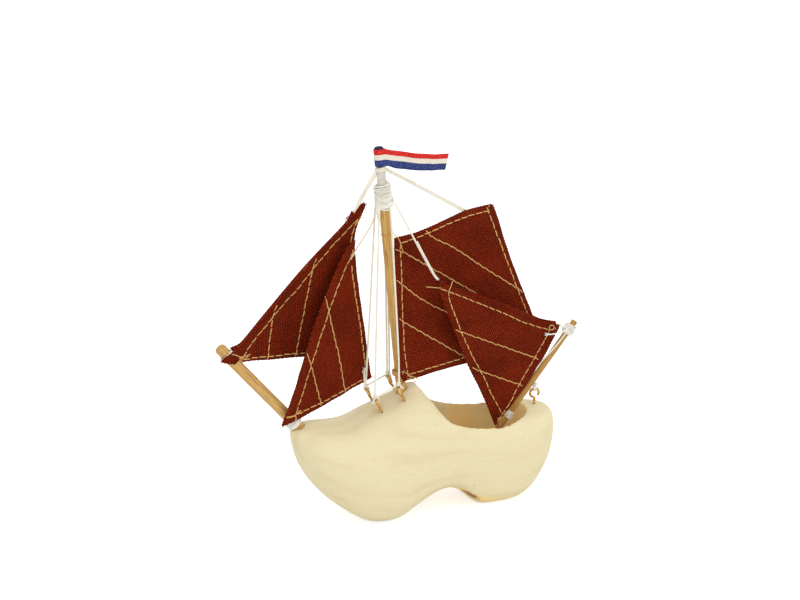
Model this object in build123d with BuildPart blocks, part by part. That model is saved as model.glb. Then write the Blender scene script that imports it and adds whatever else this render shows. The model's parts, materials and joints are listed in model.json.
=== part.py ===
from build123d import *
from math import cos, pi, radians, sin
import os

os.makedirs("parts", exist_ok=True)

# A sailing boat made from a small wooden clog. Millimetres, +Z up. The toe of the clog is the bow
# and points to -X, the heel is the stern, port is -Y. The boat stands on z = 0 and the origin is
# the middle of the base of its bounding box. Lengths "from the toe" run aft along the hull.

# ---- driving sizes ----------------------------------------------------------------------------
toe_x = -58.6                 # where the tip of the toe lies in the boat's own frame
clearance = 0.05              # radial clearance of a dowel, pin or lashing in its seat
soft_gap = 0.3                # space left round cloth and thread that moves past something

# clog: from the toe, keel, deck, half beam, height of the beam, bilge fullness, deck fullness
hull_lines = (
    (1.0, 40.0, 48.4, 5.0, 44.4, 2.0, 2.0),
    (3.5, 30.4, 50.0, 9.6, 41.2, 2.1, 2.1),
    (8.0, 22.0, 50.5, 14.2, 37.4, 2.2, 2.2),
    (14.0, 14.4, 50.2, 18.2, 33.4, 2.3, 2.2),
    (21.0, 8.0, 49.8, 21.4, 29.0, 2.4, 2.2),
    (29.0, 2.4, 50.8, 24.0, 25.4, 2.7, 2.1),
    (36.5, -1.0, 54.4, 25.5, 23.4, 2.9, 2.0),
    (44.0, -1.4, 57.8, 26.0, 22.4, 3.1, 2.0),
    (51.0, -0.4, 60.8, 25.4, 22.8, 3.1, 2.1),
    (58.0, 3.0, 63.2, 24.4, 24.0, 2.9, 2.2),
    (64.0, 6.2, 64.4, 23.3, 25.2, 2.8, 2.5),
    (68.5, 8.6, 61.4, 22.6, 26.0, 2.8, 3.0),
    (73.0, 10.2, 56.0, 22.0, 26.4, 2.8, 3.8),
    (79.0, 10.4, 51.2, 21.4, 26.6, 2.8, 4.4),
    (86.0, 6.6, 48.4, 21.0, 26.4, 2.9, 4.6),
    (94.0, -0.2, 46.8, 20.8, 25.8, 3.1, 4.6),
    (103.0, -1.2, 46.0, 20.8, 25.2, 3.2, 4.4),
    (112.0, -1.0, 46.0, 20.4, 25.2, 3.1, 4.0),
    (119.0, 0.2, 46.2, 19.6, 26.2, 2.8, 3.6),
    (125.0, 4.2, 46.4, 17.9, 27.8, 2.6, 3.4),
    (130.0, 10.6, 46.3, 15.6, 30.0, 2.4, 3.2),
    (134.5, 19.2, 45.9, 12.4, 33.0, 2.2, 3.0),
    (137.6, 27.6, 45.0, 8.8, 36.0, 2.1, 2.8),
    (139.3, 34.0, 43.2, 5.0, 38.6, 2.0, 2.4),
)
hull_length = 140.0
drawn_length = 140.0          # the length that every distance from the toe is given for
toe_tip_z = 45.0              # height of the very tip of the toe
heel_tip_z = 39.2             # height of the rearmost point of the heel
points_per_side = 10

# foot hollow
well_half_width = 17.4
well_front = 66.0             # from the toe to the front of the mouth
well_front_round = 14.0       # how far the rounded front end reaches aft
well_back = 123.6
well_back_round = 24.0
insole_z = 17.0
insole_fillet = 6.0
pocket_front = 31.0           # the hollow goes on forward, under the instep
pocket_middle = 72.0
pocket_z = 33.0
pocket_radius = 14.5

# spars
mast_diameter = 5.0
mast_from_toe = 57.0          # where the mast's axis comes out of the instep
mast_deck_z = 62.3
mast_rake = 5.2               # degrees, leaning forward
mast_step_depth = 3.0         # the mast's foot stands this much lower than the insole
masthead_pin_diameter = 3.0   # the thinner top of the mast
masthead_shoulder = 104.0     # from the deck, along the mast, to the top of the full diameter
masthead_pin_end = 119.0      # from the deck, along the mast, to the top of the pin

bowsprit_diameter = 5.5
bowsprit_from_toe = 4.6       # where its axis comes out of the toe
bowsprit_deck_z = 48.9
bowsprit_steeve = 50.3        # degrees above level
bowsprit_length = 59.0        # outside the hull
bowsprit_bury = 10.0
bowsprit_round = 1.6

pole_diameter = 3.2
pole_foot_from_toe = 95.9     # where the pole's axis meets the insole
pole_slope = 52.8             # degrees above level, leaning aft
pole_length = 90.4            # above the insole
pole_bury = 4.0

# masthead
cap_diameter = 4.4
cap_height = 9.4
cap_round = 1.0
cap_above_shoulder = 9.6
sleeve_diameter = 4.4
sleeve_length = 7.6

# screw eyes and the screw hook
wire_diameter = 1.4
ring_radius = 2.4             # to the middle of the wire
eye_shank = 2.9               # from the wood to the middle of the wire at the foot of the ring
eye_bury = 6.0
eye_open = 34.0               # degrees of the ring left open
eye_half_spread = 8.0         # port and starboard of the centre line
fore_eye_from_toe = 44.4
fore_eye_deck_z = 54.9
aft_eye_from_toe = 55.7
aft_eye_deck_z = 60.3
eye_lean = 23.0               # degrees, towards the toe
hook_from_toe = 129.2
hook_deck_z = 45.8
hook_shank = 4.0
hook_open = 62.0
screw_point = 0.4             # chamfer at the buried end

# threads
cord_diameter = 0.9
shroud_diameter = 0.8
tie_diameter = 0.5

# lashings: outer diameter, length along the spar and where the lower end lies along it
masthead_lashing_size = (7.6, 10.6)
tip_lashing_size = (6.9, 1.8)
tip_lashing_from_end = 6.3
heel_lashing_size = (7.8, 4.4)
heel_lashing_from_deck = 3.2
pole_top_lashing_size = (5.8, 6.4)
pole_top_lashing_from_end = 8.6
pole_foot_lashing_size = (5.0, 4.2)
pole_foot_lashing_from_insole = 29.6

# cloth
canvas = 0.6                  # thickness
hem_wall = 0.35               # cloth round the cord in a hem
ribbon = 0.35
flag_height = 7.7
flag_length = 34.6
flag_droop = 5.9
flag_slant = 2.6              # how far its free end leans
flag_gap = 0.35

# corners of the sails: from the toe, to starboard, above the base
outer_jib_clew = (22.4, 10.0, 80.5)
inner_jib_tack = (-4.1, -6.4, 52.5)
inner_jib_head = (33.1, 0.5, 140.3)
inner_jib_clew = (45.6, 10.4, 66.1)
main_clew = (134.0, 6.0, 77.0)
aft_sail_fore = (72.5, -8.0, 119.9)
aft_sail_tack = (106.9, -2.0, 37.9)

# where the mainsail's luff is tied, in the mast's frame: aft, to starboard, up from the deck
main_luff_foot = (-1.9, -4.2, 12.5)
main_throat = (2.6, -2.1, 78.4)

# outlines of the sails, edge by edge: along the fixed edge, then across the cloth
outer_jib_hem = (3.0, 85.5)
outer_jib_edges = (
    ((3.0, 0), (85.5, 0)),
    ((85.5, 0), (93.0, 4.4)),
    ((93.0, 4.4), (92.6, 6.9)),
    ((92.6, 6.9), (83.4, 10.3), (68.6, 21.9), (24.4, 45.7)),
    ((24.4, 45.7), (8.2, 21.7), (0.4, 6.3)),
    ((0.4, 6.3), (3.0, 0)),
)
inner_jib_edges = (
    ((0.5, -2.4), (20, -3.0), (60, -4.6), (96.2, 0)),
    ((96.2, 0), (90.5, 3.4), (70.5, 16.1), (49.7, 30.1), (32.9, 41.9)),
    ((32.9, 41.9), (29.8, 38.4)),
    ((29.8, 38.4), (13.1, 16.6), (3.2, 1.8)),
    ((3.2, 1.8), (0.5, -2.4)),
)
mainsail_edges = (
    ((0, 0), (66.2, 0)),
    ((66.2, 0), (68.3, 14.7), (75.0, 36.5), (76.4, 50.0)),
    ((76.4, 50.0), (74.4, 54.6)),
    ((74.4, 54.6), (50.7, 62.9), (16.3, 76.6), (1.4, 81.4)),
    ((1.4, 81.4), (-3.0, 38.2), (-6.5, 2.9)),
    ((-6.5, 2.9), (0, 0)),
)
head_hem_ends = (2.0, 72.6)
aft_sail_edges = (
    ((2.0, 0), (72.6, 0)),
    ((72.6, 0), (74.0, 3.0)),
    ((74.0, 3.0), (70.7, 30.1), (66.2, 58.1)),
    ((66.2, 58.1), (64.6, 61.4)),
    ((64.6, 61.4), (34.5, 35.2), (3.0, 4.0)),
    ((3.0, 4.0), (2.0, 0)),
)

# where the threads run, each in the frame of its spar: aft or under, to starboard, along the spar.
# On the mast from the lower end of its lashing, on the pole from that of its top lashing.
port_fore_leg = (-3.2, -2.9)
port_aft_leg = (2.4, -3.6)
starboard_fore_leg = (-3.6, 2.6)
starboard_aft_leg = (1.5, 4.0)
shroud_tuck = 0.78            # how far in, of its own radius, a leg is tucked under the lashing
leg_enters = 1.1
leg_ends = 5.0
halyard_enters = (-4.3, 0)
halyard_ends = (-3.3, 0)
aft_stay_enters = (3.9, -2.0)
aft_stay_ends = (2.9, -1.5)
aft_sail_peak = (-7.99, -2.0, 3.66)
aft_stay_on_pole = (-2.25, -0.6, 2.7)
backstay_turn = ((-1.3, -1.95, 2.7), (-1.5, -2.1, -1.3), (-2.2, -2.6, -8.6), (-3.2, -1.2, -20.1),
                 (-1.4, 3.3, -25.1), (2.0, 1.9, -28.8))
backstay_bends = (2, 3, 2, 1.5, 0.8)
throat_tie_middle = (0.19, -0.16, 76.6)
throat_tie_radius = 3.05
tack_tie_middle = (-0.5, -0.98, 10.0)
tack_tie_radius = 3.9
stay_loop_below_cap = 3.6
foot_tie_on_pole = (-1.0, -1.85)
foot_tie_on_sail = (64.6, 57.6, 0)
heel_tie_on_sail = (1.6, -0.8)
peak_on_sail = (67.4, 50.4)
cord_bend = 3.0               # inner bends of the cords


stretch = hull_length / drawn_length


def at(from_toe, y, z):
    """A point given by its distance from the toe."""
    return Vector(toe_x + from_toe * stretch, y, z)


def export(solid, name):
    solid.label = name
    export_step(solid, f"parts/{name}.step")


def side_points(side, keel, deck, half_beam, beam_z, bilge, crown):
    """Points up one side of a cross-section of the clog, from its bilge and deck fullness."""
    points = []
    for step in range(points_per_side):
        turn = pi * ((step + 0.5) / points_per_side - 0.5)
        fullness = crown if turn > 0 else bilge
        rise = deck - beam_z if turn > 0 else beam_z - keel
        up = abs(sin(turn)) ** (2 / fullness) * (1 if turn > 0 else -1)
        points.append((side * half_beam * cos(turn) ** (2 / fullness), beam_z + rise * up))
    return points


def across(from_toe):
    """The plane of a cross-section: sketch x to starboard, sketch y up."""
    return Plane(origin=at(from_toe, 0, 0), x_dir=(0, 1, 0), z_dir=(1, 0, 0))


def hull_side(side):
    """One half of the solid clog, from the centre line out."""
    with BuildPart() as half:
        for from_toe, keel, deck, *shape in hull_lines:
            with BuildSketch(across(from_toe)):
                with BuildLine():
                    Spline((0, keel), *side_points(side, keel, deck, *shape), (0, deck),
                           tangents=((side, 0), (-side, 0)))
                    Line((0, deck), (0, keel))
                make_face()
        loft(sections=[Vertex(toe_x, 0, toe_tip_z), *half.pending_faces,
                       Vertex(toe_x + hull_length, 0, heel_tip_z)], clean=False)
    return half.part


def thread(points, diameter, bends=()):
    """A cord along straight runs joined by tangent arcs."""
    with BuildPart() as cord:
        with BuildLine() as route:
            if len(points) == 2:
                Line(*points)
            else:
                FilletPolyline(*points, radius=list(bends))
        with BuildSketch(Plane(origin=points[0], z_dir=points[1] - points[0])):
            Circle(diameter / 2)
        sweep(path=route.wires()[0])
    return cord.part


def loop(centre, axis, inner_radius, diameter):
    """A closed turn of thread round whatever runs along the axis."""
    turn_plane = Plane(origin=centre, z_dir=axis)
    with BuildPart() as turn:
        with BuildSketch(Plane(origin=centre, x_dir=turn_plane.x_dir, z_dir=turn_plane.y_dir)):
            with Locations((inner_radius + diameter / 2, 0)):
                Circle(diameter / 2)
        revolve(axis=Axis(centre, axis), revolution_arc=360)
    return turn.part


def lashing_on(plane, spar_diameter, size):
    """A barrel of close turns round a spar, its lower end on the plane."""
    outer, length = size
    with BuildPart(plane) as barrel:
        Cylinder(outer / 2, length, align=(Align.CENTER, Align.CENTER, Align.MIN))
        fillet(barrel.edges().filter_by(GeomType.CIRCLE), (outer - spar_diameter) / 5)
        Cylinder(spar_diameter / 2 + clearance, length * 3, mode=Mode.SUBTRACT)
    return barrel.part


def bore_along(plane, diameter, depth, above):
    """The waste of a round hole: depth below the plane's origin and a length above it."""
    with BuildPart(plane.offset(-depth)) as waste:
        Cylinder(diameter / 2, depth + above, align=(Align.CENTER, Align.CENTER, Align.MIN))
    return waste.part


def cloth(plane, edges):
    """A flat piece of canvas, its edges given in order as runs of points on the plane."""
    with BuildPart() as piece:
        with BuildSketch(plane):
            with BuildLine():
                for points in edges:
                    if len(points) == 2:
                        Line(*points)
                    else:
                        Spline(*points)
            make_face()
        extrude(amount=canvas / 2, both=True)
    return piece.part


def hem_tube(plane, start, end, outer_radius, gap):
    """The rolled hem along a sail's fixed edge, and the straight channel its cord runs in."""
    along = Plane(origin=plane.origin, x_dir=plane.y_dir, z_dir=plane.x_dir)
    with BuildPart(along.offset(start)) as tube:
        Cylinder(outer_radius, end - start, align=(Align.CENTER, Align.CENTER, Align.MIN))
    with BuildPart(along.offset(start - end)) as channel:
        Cylinder(cord_diameter / 2 + gap, 3 * (end - start),
                 align=(Align.CENTER, Align.CENTER, Align.MIN))
    return tube.part, channel.part


def cloth_plane(origin, along, side):
    """A sail's own plane: x along its fixed edge, y across the cloth."""
    edge = (along - origin).normalized()
    return Plane(origin=origin, x_dir=edge, z_dir=edge.cross(side - origin))


# ---- where the spars stand --------------------------------------------------------------------
rake = radians(mast_rake)
mast_plane = Plane(origin=at(mast_from_toe, 0, mast_deck_z), x_dir=(cos(rake), 0, sin(rake)),
                   z_dir=(-sin(rake), 0, cos(rake)))
mast_below_deck = (mast_deck_z - insole_z + mast_step_depth) / cos(rake)

steeve = radians(bowsprit_steeve)
bowsprit_plane = Plane(origin=at(bowsprit_from_toe, 0, bowsprit_deck_z),
                       x_dir=(sin(steeve), 0, cos(steeve)), z_dir=(-cos(steeve), 0, sin(steeve)))

slope = radians(pole_slope)
pole_plane = Plane(origin=at(pole_foot_from_toe, 0, insole_z),
                   x_dir=(sin(slope), 0, -cos(slope)), z_dir=(cos(slope), 0, sin(slope)))


def eye_plane(from_toe, y, deck_z, lean, turned):
    """The seat of a screw eye: z out of the wood, x in the plane of its ring."""
    tilt = radians(lean)
    yaw = radians(turned)
    return Plane(origin=at(from_toe, y, deck_z),
                 x_dir=(sin(yaw) * cos(tilt), cos(yaw), sin(yaw) * sin(tilt)),
                 z_dir=(-sin(tilt), 0, cos(tilt)))


# name, seat, shank above the wood, degrees left open
eyes = (
    ("port_fore_eye", eye_plane(fore_eye_from_toe, -eye_half_spread, fore_eye_deck_z, eye_lean, 4),
     eye_shank, eye_open),
    ("starboard_fore_eye", eye_plane(fore_eye_from_toe, eye_half_spread, fore_eye_deck_z, eye_lean, 14),
     eye_shank, eye_open),
    ("port_aft_eye", eye_plane(aft_eye_from_toe, -eye_half_spread, aft_eye_deck_z, eye_lean, 16),
     eye_shank, eye_open),
    ("starboard_aft_eye", eye_plane(aft_eye_from_toe, eye_half_spread, aft_eye_deck_z, eye_lean, 20),
     eye_shank, eye_open),
    ("stern_hook", eye_plane(hook_from_toe, 0, hook_deck_z, 0, 90), hook_shank, hook_open),
)

# ---- hull: a carved body with the foot hollow and a hole for each spar and screw --------------
with BuildPart() as hollow:
    with BuildSketch(Plane(origin=at(well_front, 0, insole_z))):
        with BuildLine():
            fore_end = EllipticalCenterArc((well_front_round, 0), well_front_round, well_half_width,
                                           90, arc_size=180)
            aft_end = EllipticalCenterArc(((well_back - well_front) * stretch - well_back_round, 0),
                                          well_back_round, well_half_width, -90, arc_size=180)
            Line(fore_end @ 1, aft_end @ 0)
            Line(aft_end @ 1, fore_end @ 0)
        make_face()
    extrude(amount=mast_deck_z)
    fillet(hollow.edges().group_by(Axis.Z)[0], insole_fillet)
    pocket_centre = at(pocket_middle, 0, pocket_z)
    with BuildSketch(Plane(origin=pocket_centre, x_dir=(1, 0, 0), z_dir=(0, -1, 0))):
        with BuildLine():
            roof = EllipticalCenterArc((0, 0), (pocket_middle - pocket_front) * stretch, pocket_radius,
                                       0, arc_size=180)
            Line(roof @ 1, roof @ 0)
        make_face()
    revolve(axis=Axis(pocket_centre, (1, 0, 0)))

with BuildPart() as ground:
    Box(2 * hull_length, hull_length, hull_length, align=(Align.CENTER, Align.CENTER, Align.MAX))

hull_waste = [
    ground.part,
    hollow.part,
    bore_along(mast_plane, mast_diameter + 2 * clearance, mast_below_deck, mast_diameter),
    bore_along(bowsprit_plane, bowsprit_diameter + 2 * clearance, bowsprit_bury, bowsprit_diameter),
    bore_along(pole_plane, pole_diameter + 2 * clearance, pole_bury, pole_diameter),
]
for eye_name, seat, shank, opening in eyes:
    hull_waste.append(bore_along(seat, wire_diameter + 2 * clearance, eye_bury, shank))

with BuildPart() as hull:
    add(hull_side(1))
    add(hull_side(-1), clean=False)
    for waste in hull_waste:
        add(waste, mode=Mode.SUBTRACT, clean=False)
export(hull.part, "hull")

# ---- spars ------------------------------------------------------------------------------------
with BuildPart(mast_plane.offset(-mast_below_deck)) as mast:
    Cylinder(mast_diameter / 2, mast_below_deck + masthead_shoulder,
             align=(Align.CENTER, Align.CENTER, Align.MIN))
    Cylinder(masthead_pin_diameter / 2, mast_below_deck + masthead_pin_end,
             align=(Align.CENTER, Align.CENTER, Align.MIN))
export(mast.part, "mast")

with BuildPart(bowsprit_plane.offset(-bowsprit_bury)) as bowsprit:
    Cylinder(bowsprit_diameter / 2, bowsprit_bury + bowsprit_length,
             align=(Align.CENTER, Align.CENTER, Align.MIN))
    fillet(bowsprit.faces().sort_by(Axis.Z)[-1].edges(), bowsprit_round)
export(bowsprit.part, "bowsprit")

with BuildPart(pole_plane.offset(-pole_bury)) as stern_pole:
    Cylinder(pole_diameter / 2, pole_bury + pole_length,
             align=(Align.CENTER, Align.CENTER, Align.MIN))
export(stern_pole.part, "stern_pole")

# ---- masthead ---------------------------------------------------------------------------------
cap_plane = mast_plane.offset(masthead_shoulder + cap_above_shoulder)
with BuildPart(cap_plane) as mast_cap:
    Cylinder(cap_diameter / 2, cap_height, align=(Align.CENTER, Align.CENTER, Align.MIN))
    fillet(mast_cap.faces().sort_by(Axis.Z)[-1].edges(), cap_round)
    with Locations((0, 0, masthead_pin_end - masthead_shoulder - cap_above_shoulder)):
        Cylinder(masthead_pin_diameter / 2 + clearance, cap_height,
                 align=(Align.CENTER, Align.CENTER, Align.MAX), mode=Mode.SUBTRACT)
export(mast_cap.part, "mast_cap")

with BuildPart(mast_plane.offset(masthead_shoulder)) as masthead_sleeve:
    Cylinder(sleeve_diameter / 2, sleeve_length, align=(Align.CENTER, Align.CENTER, Align.MIN))
    Cylinder(masthead_pin_diameter / 2 + clearance, sleeve_length * 3, mode=Mode.SUBTRACT)
export(masthead_sleeve.part, "masthead_sleeve")

# ---- lashings ---------------------------------------------------------------------------------
masthead_lashing_start = masthead_shoulder - masthead_lashing_size[1]
lashings = (
    ("masthead_lashing", mast_plane.offset(masthead_lashing_start), mast_diameter,
     masthead_lashing_size),
    ("bowsprit_tip_lashing", bowsprit_plane.offset(bowsprit_length - tip_lashing_from_end),
     bowsprit_diameter, tip_lashing_size),
    ("bowsprit_heel_lashing", bowsprit_plane.offset(heel_lashing_from_deck), bowsprit_diameter,
     heel_lashing_size),
    ("pole_top_lashing", pole_plane.offset(pole_length - pole_top_lashing_from_end), pole_diameter,
     pole_top_lashing_size),
    ("pole_foot_lashing", pole_plane.offset(pole_foot_lashing_from_insole), pole_diameter,
     pole_foot_lashing_size),
)
for lashing_name, lashing_plane, spar, size in lashings:
    export(lashing_on(lashing_plane, spar, size), lashing_name)

# ---- screw eyes and hook ----------------------------------------------------------------------
for eye_name, seat, shank, opening in eyes:
    ring_middle = seat.from_local_coords((0, 0, shank + ring_radius))
    ring_plane = Plane(origin=ring_middle, x_dir=seat.x_dir, z_dir=-seat.y_dir)
    with BuildPart() as eye:
        with BuildLine(ring_plane) as ring:
            CenterArc((0, 0), ring_radius, -90, opening - 360)
        bend = ring.edges()[0]
        with BuildSketch(Plane(origin=bend @ 0, z_dir=bend % 0)):
            Circle(wire_diameter / 2)
        sweep(path=bend)
        with Locations(bend @ 0, bend @ 1):
            Sphere(wire_diameter / 2)
        with Locations(seat.offset(shank)):
            Cylinder(wire_diameter / 2, shank + eye_bury,
                     align=(Align.CENTER, Align.CENTER, Align.MAX))
        chamfer(eye.faces().sort_by(Axis.Z)[0].edges(), screw_point)
    export(eye.part, eye_name)

# ---- where the threads are made fast ----------------------------------------------------------
def on_mast(aft, starboard, height):
    """A point in the mast's own frame, its height measured along the mast from the deck."""
    return mast_plane.from_local_coords((aft, starboard, height))


def on_pole(under, starboard, height):
    """A point in the stern pole's own frame, its height measured along it from the insole."""
    return pole_plane.from_local_coords((under, starboard, height))


def ring_top(seat, shank, above=0):
    """The middle of the wire at the top of an eye's ring, or a point above it."""
    return seat.from_local_coords((0, 0, shank + 2 * ring_radius + above))


def hitch(seat, shank, diameter):
    """A turn of cord round the top of an eye's ring."""
    return loop(ring_top(seat, shank), seat.x_dir, wire_diameter / 2 + clearance, diameter)


hitch_rise = wire_diameter / 2 + clearance
under_lashing = masthead_lashing_start + leg_enters
in_lashing = masthead_lashing_start + leg_ends
pole_top_lashing_start = pole_length - pole_top_lashing_from_end

# ---- shrouds: side, fore eye, aft eye, where each leg leaves the lashing, aft and to starboard ---
shrouds = (
    ("port_shroud", eyes[0], eyes[2], port_fore_leg, port_aft_leg),
    ("starboard_shroud", eyes[1], eyes[3], starboard_fore_leg, starboard_aft_leg),
)
for shroud_name, fore, aft, fore_exit, aft_exit in shrouds:
    knots = []
    with BuildPart() as shroud:
        for end, (out_aft, out_side) in ((fore, fore_exit), (aft, aft_exit)):
            knot = ring_top(end[1], end[2], hitch_rise + shroud_diameter / 2)
            knots.append(knot)
            add(hitch(end[1], end[2], shroud_diameter))
            add(thread((knot, on_mast(out_aft, out_side, under_lashing),
                        on_mast(out_aft * shroud_tuck, out_side * shroud_tuck, in_lashing)),
                       shroud_diameter, (cord_bend,)))
        add(thread(knots, shroud_diameter))
    export(shroud.part, shroud_name)

# ---- outer jib, sliding hem on its stay ---------------------------------------------------------
stay_foot = bowsprit_plane.from_local_coords(
    (bowsprit_diameter / 2 + clearance + cord_diameter / 2, 0,
     bowsprit_length - tip_lashing_from_end + tip_lashing_size[1] / 2))
stay_loop = sleeve_diameter / 2 + clearance
stay_loop_height = masthead_shoulder + cap_above_shoulder - stay_loop_below_cap
stay_head = on_mast(-stay_loop - cord_diameter / 2, 0, stay_loop_height)
with BuildPart() as outer_jib_stay:
    add(thread((stay_foot, stay_head), cord_diameter))
    add(loop(on_mast(0, 0, stay_loop_height), mast_plane.z_dir, stay_loop, cord_diameter))
export(outer_jib_stay.part, "outer_jib_stay")

outer_jib_plane = cloth_plane(stay_foot, stay_head, at(*outer_jib_clew))
outer_hem, outer_channel = hem_tube(outer_jib_plane, *outer_jib_hem,
                                    cord_diameter / 2 + soft_gap + hem_wall, soft_gap)
with BuildPart() as outer_jib:
    add(cloth(outer_jib_plane, outer_jib_edges))
    add(outer_hem)
    add(outer_channel, mode=Mode.SUBTRACT)
export(outer_jib.part, "outer_jib")

# ---- inner jib, held at its head by a halyard and at its tack by a tie to the bowsprit ------------
inner_jib_plane = cloth_plane(at(*inner_jib_tack), at(*inner_jib_head), at(*inner_jib_clew))
inner_jib = cloth(inner_jib_plane, inner_jib_edges)
export(inner_jib, "inner_jib")

head_x, head_y = inner_jib_edges[0][-1]
halyard_drop = inner_jib_plane.from_local_coords((head_x + soft_gap + cord_diameter / 2, head_y, 0))
inner_jib_halyard = thread((halyard_drop, on_mast(*halyard_enters, under_lashing),
                            on_mast(*halyard_ends, in_lashing)), cord_diameter, (cord_bend,))
export(inner_jib_halyard, "inner_jib_halyard")

heel_tie_start = bowsprit_plane.from_local_coords(
    (0, -heel_lashing_size[0] / 2 + tie_diameter, heel_lashing_from_deck + heel_lashing_size[1] / 2))
heel_tie_end = inner_jib_plane.from_local_coords(
    (*heel_tie_on_sail, canvas / 2 + soft_gap + tie_diameter / 2))
inner_jib_tack_tie = thread((heel_tie_start, heel_tie_end), tie_diameter)
export(inner_jib_tack_tie, "inner_jib_tack_tie")

# ---- mainsail, tied round the mast at throat and tack and hung from the masthead ------------------
main_plane = cloth_plane(on_mast(*main_luff_foot), on_mast(*main_throat), at(*main_clew))
mainsail = cloth(main_plane, mainsail_edges)
export(mainsail, "mainsail")

throat_tie = loop(on_mast(*throat_tie_middle), mast_plane.z_dir, throat_tie_radius, tie_diameter)
export(throat_tie, "throat_tie")
tack_tie = loop(on_mast(*tack_tie_middle), mast_plane.z_dir, tack_tie_radius, tie_diameter)
export(tack_tie, "tack_tie")

pin_loop = masthead_pin_diameter / 2 + soft_gap
pin_loop_height = masthead_shoulder + (sleeve_length + cap_above_shoulder) / 2
peak = main_plane.from_local_coords((*peak_on_sail, canvas / 2))
pin_middle = on_mast(0, 0, pin_loop_height)
pin_side = pin_middle + mast_plane.x_dir * (pin_loop + cord_diameter / 2)
with BuildPart() as peak_halyard:
    add(thread((pin_side, peak), cord_diameter))
    add(loop(pin_middle, mast_plane.z_dir, pin_loop, cord_diameter))
export(peak_halyard.part, "peak_halyard")

# ---- aft sail between the masthead, the pole's head and its foot ----------------------------------
def on_pole_top(under, starboard, above):
    """A point in the pole's own frame, its height measured from the start of its top lashing."""
    return on_pole(under, starboard, pole_top_lashing_start + above)


aft_stay = thread((on_mast(*aft_stay_ends, in_lashing), on_mast(*aft_stay_enters, under_lashing),
                   at(*aft_sail_fore), on_pole_top(*aft_sail_peak),
                   on_pole_top(*aft_stay_on_pole)), cord_diameter, (cord_bend,) * 3)
export(aft_stay, "aft_stay")

aft_sail_plane = cloth_plane(at(*aft_sail_fore), on_pole_top(*aft_sail_peak), at(*aft_sail_tack))
head_hem, head_channel = hem_tube(aft_sail_plane, *head_hem_ends,
                                  cord_diameter / 2 + 2 * clearance + hem_wall, 2 * clearance)
with BuildPart() as aft_sail:
    add(cloth(aft_sail_plane, aft_sail_edges))
    add(head_hem)
    add(head_channel, mode=Mode.SUBTRACT)
export(aft_sail.part, "aft_sail")

foot_lashing_middle = pole_foot_lashing_from_insole + pole_foot_lashing_size[1] / 2
aft_sail_tack_tie = thread((on_pole(*foot_tie_on_pole, foot_lashing_middle),
                            aft_sail_plane.from_local_coords(foot_tie_on_sail)), tie_diameter)
export(aft_sail_tack_tie, "aft_sail_tack_tie")

# ---- backstay: from the pole's head, once round the pole, to the hook on the heel -----------------
stern_hook = eyes[4]
with BuildPart() as backstay:
    add(thread([on_pole_top(*point) for point in backstay_turn]
               + [ring_top(stern_hook[1], stern_hook[2], hitch_rise + cord_diameter / 2)],
               cord_diameter, backstay_bends))
    add(hitch(stern_hook[1], stern_hook[2], cord_diameter))
export(backstay.part, "backstay")

# ---- flag: a ribbon wrapped round the mast cap, its two ends laid together --------------------------
flag_root = cap_diameter / 2 + flag_gap
with BuildPart(cap_plane) as flag:
    Cylinder(flag_root + ribbon, flag_height, align=(Align.CENTER, Align.CENTER, Align.MIN))
    with BuildSketch(Plane(origin=cap_plane.origin, x_dir=cap_plane.x_dir, z_dir=-cap_plane.y_dir)):
        Polygon((flag_root, 0), (flag_length - flag_slant, -flag_droop),
                (flag_length, flag_height - flag_droop), (flag_root, flag_height), align=None)
    extrude(amount=ribbon, both=True)
    Cylinder(flag_root, flag_height * 3, mode=Mode.SUBTRACT)
export(flag.part, "flag")
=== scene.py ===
import json
import math
import random
import bpy
import numpy as np
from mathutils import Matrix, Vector

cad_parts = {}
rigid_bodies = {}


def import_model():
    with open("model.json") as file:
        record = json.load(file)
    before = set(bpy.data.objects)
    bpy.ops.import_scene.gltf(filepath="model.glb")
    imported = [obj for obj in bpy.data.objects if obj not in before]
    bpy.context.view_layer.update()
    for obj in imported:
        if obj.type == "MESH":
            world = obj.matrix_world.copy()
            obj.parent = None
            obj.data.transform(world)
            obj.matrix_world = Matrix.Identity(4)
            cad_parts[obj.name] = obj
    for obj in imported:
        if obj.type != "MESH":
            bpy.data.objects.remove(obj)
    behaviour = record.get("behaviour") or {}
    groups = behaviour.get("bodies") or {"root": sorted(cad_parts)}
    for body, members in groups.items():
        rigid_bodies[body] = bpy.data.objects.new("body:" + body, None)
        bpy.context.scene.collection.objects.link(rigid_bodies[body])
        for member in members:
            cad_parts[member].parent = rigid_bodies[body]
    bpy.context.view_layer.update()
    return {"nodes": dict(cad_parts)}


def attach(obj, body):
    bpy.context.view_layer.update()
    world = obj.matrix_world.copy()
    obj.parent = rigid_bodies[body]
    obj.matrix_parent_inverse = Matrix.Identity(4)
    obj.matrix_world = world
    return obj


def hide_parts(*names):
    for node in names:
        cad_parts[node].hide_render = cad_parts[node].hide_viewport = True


# Looks of a toy sailing boat made from a small wooden clog. Lengths are in millimetres until a
# mesh is made, and then in metres. The toe is the bow, at -X, and port is -Y.
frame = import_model()
nodes = frame["nodes"]
mm = 0.001
fullTurn = 2 * math.pi
random.seed(11)
print("frame loaded:", len(nodes), "CAD nodes")

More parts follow.
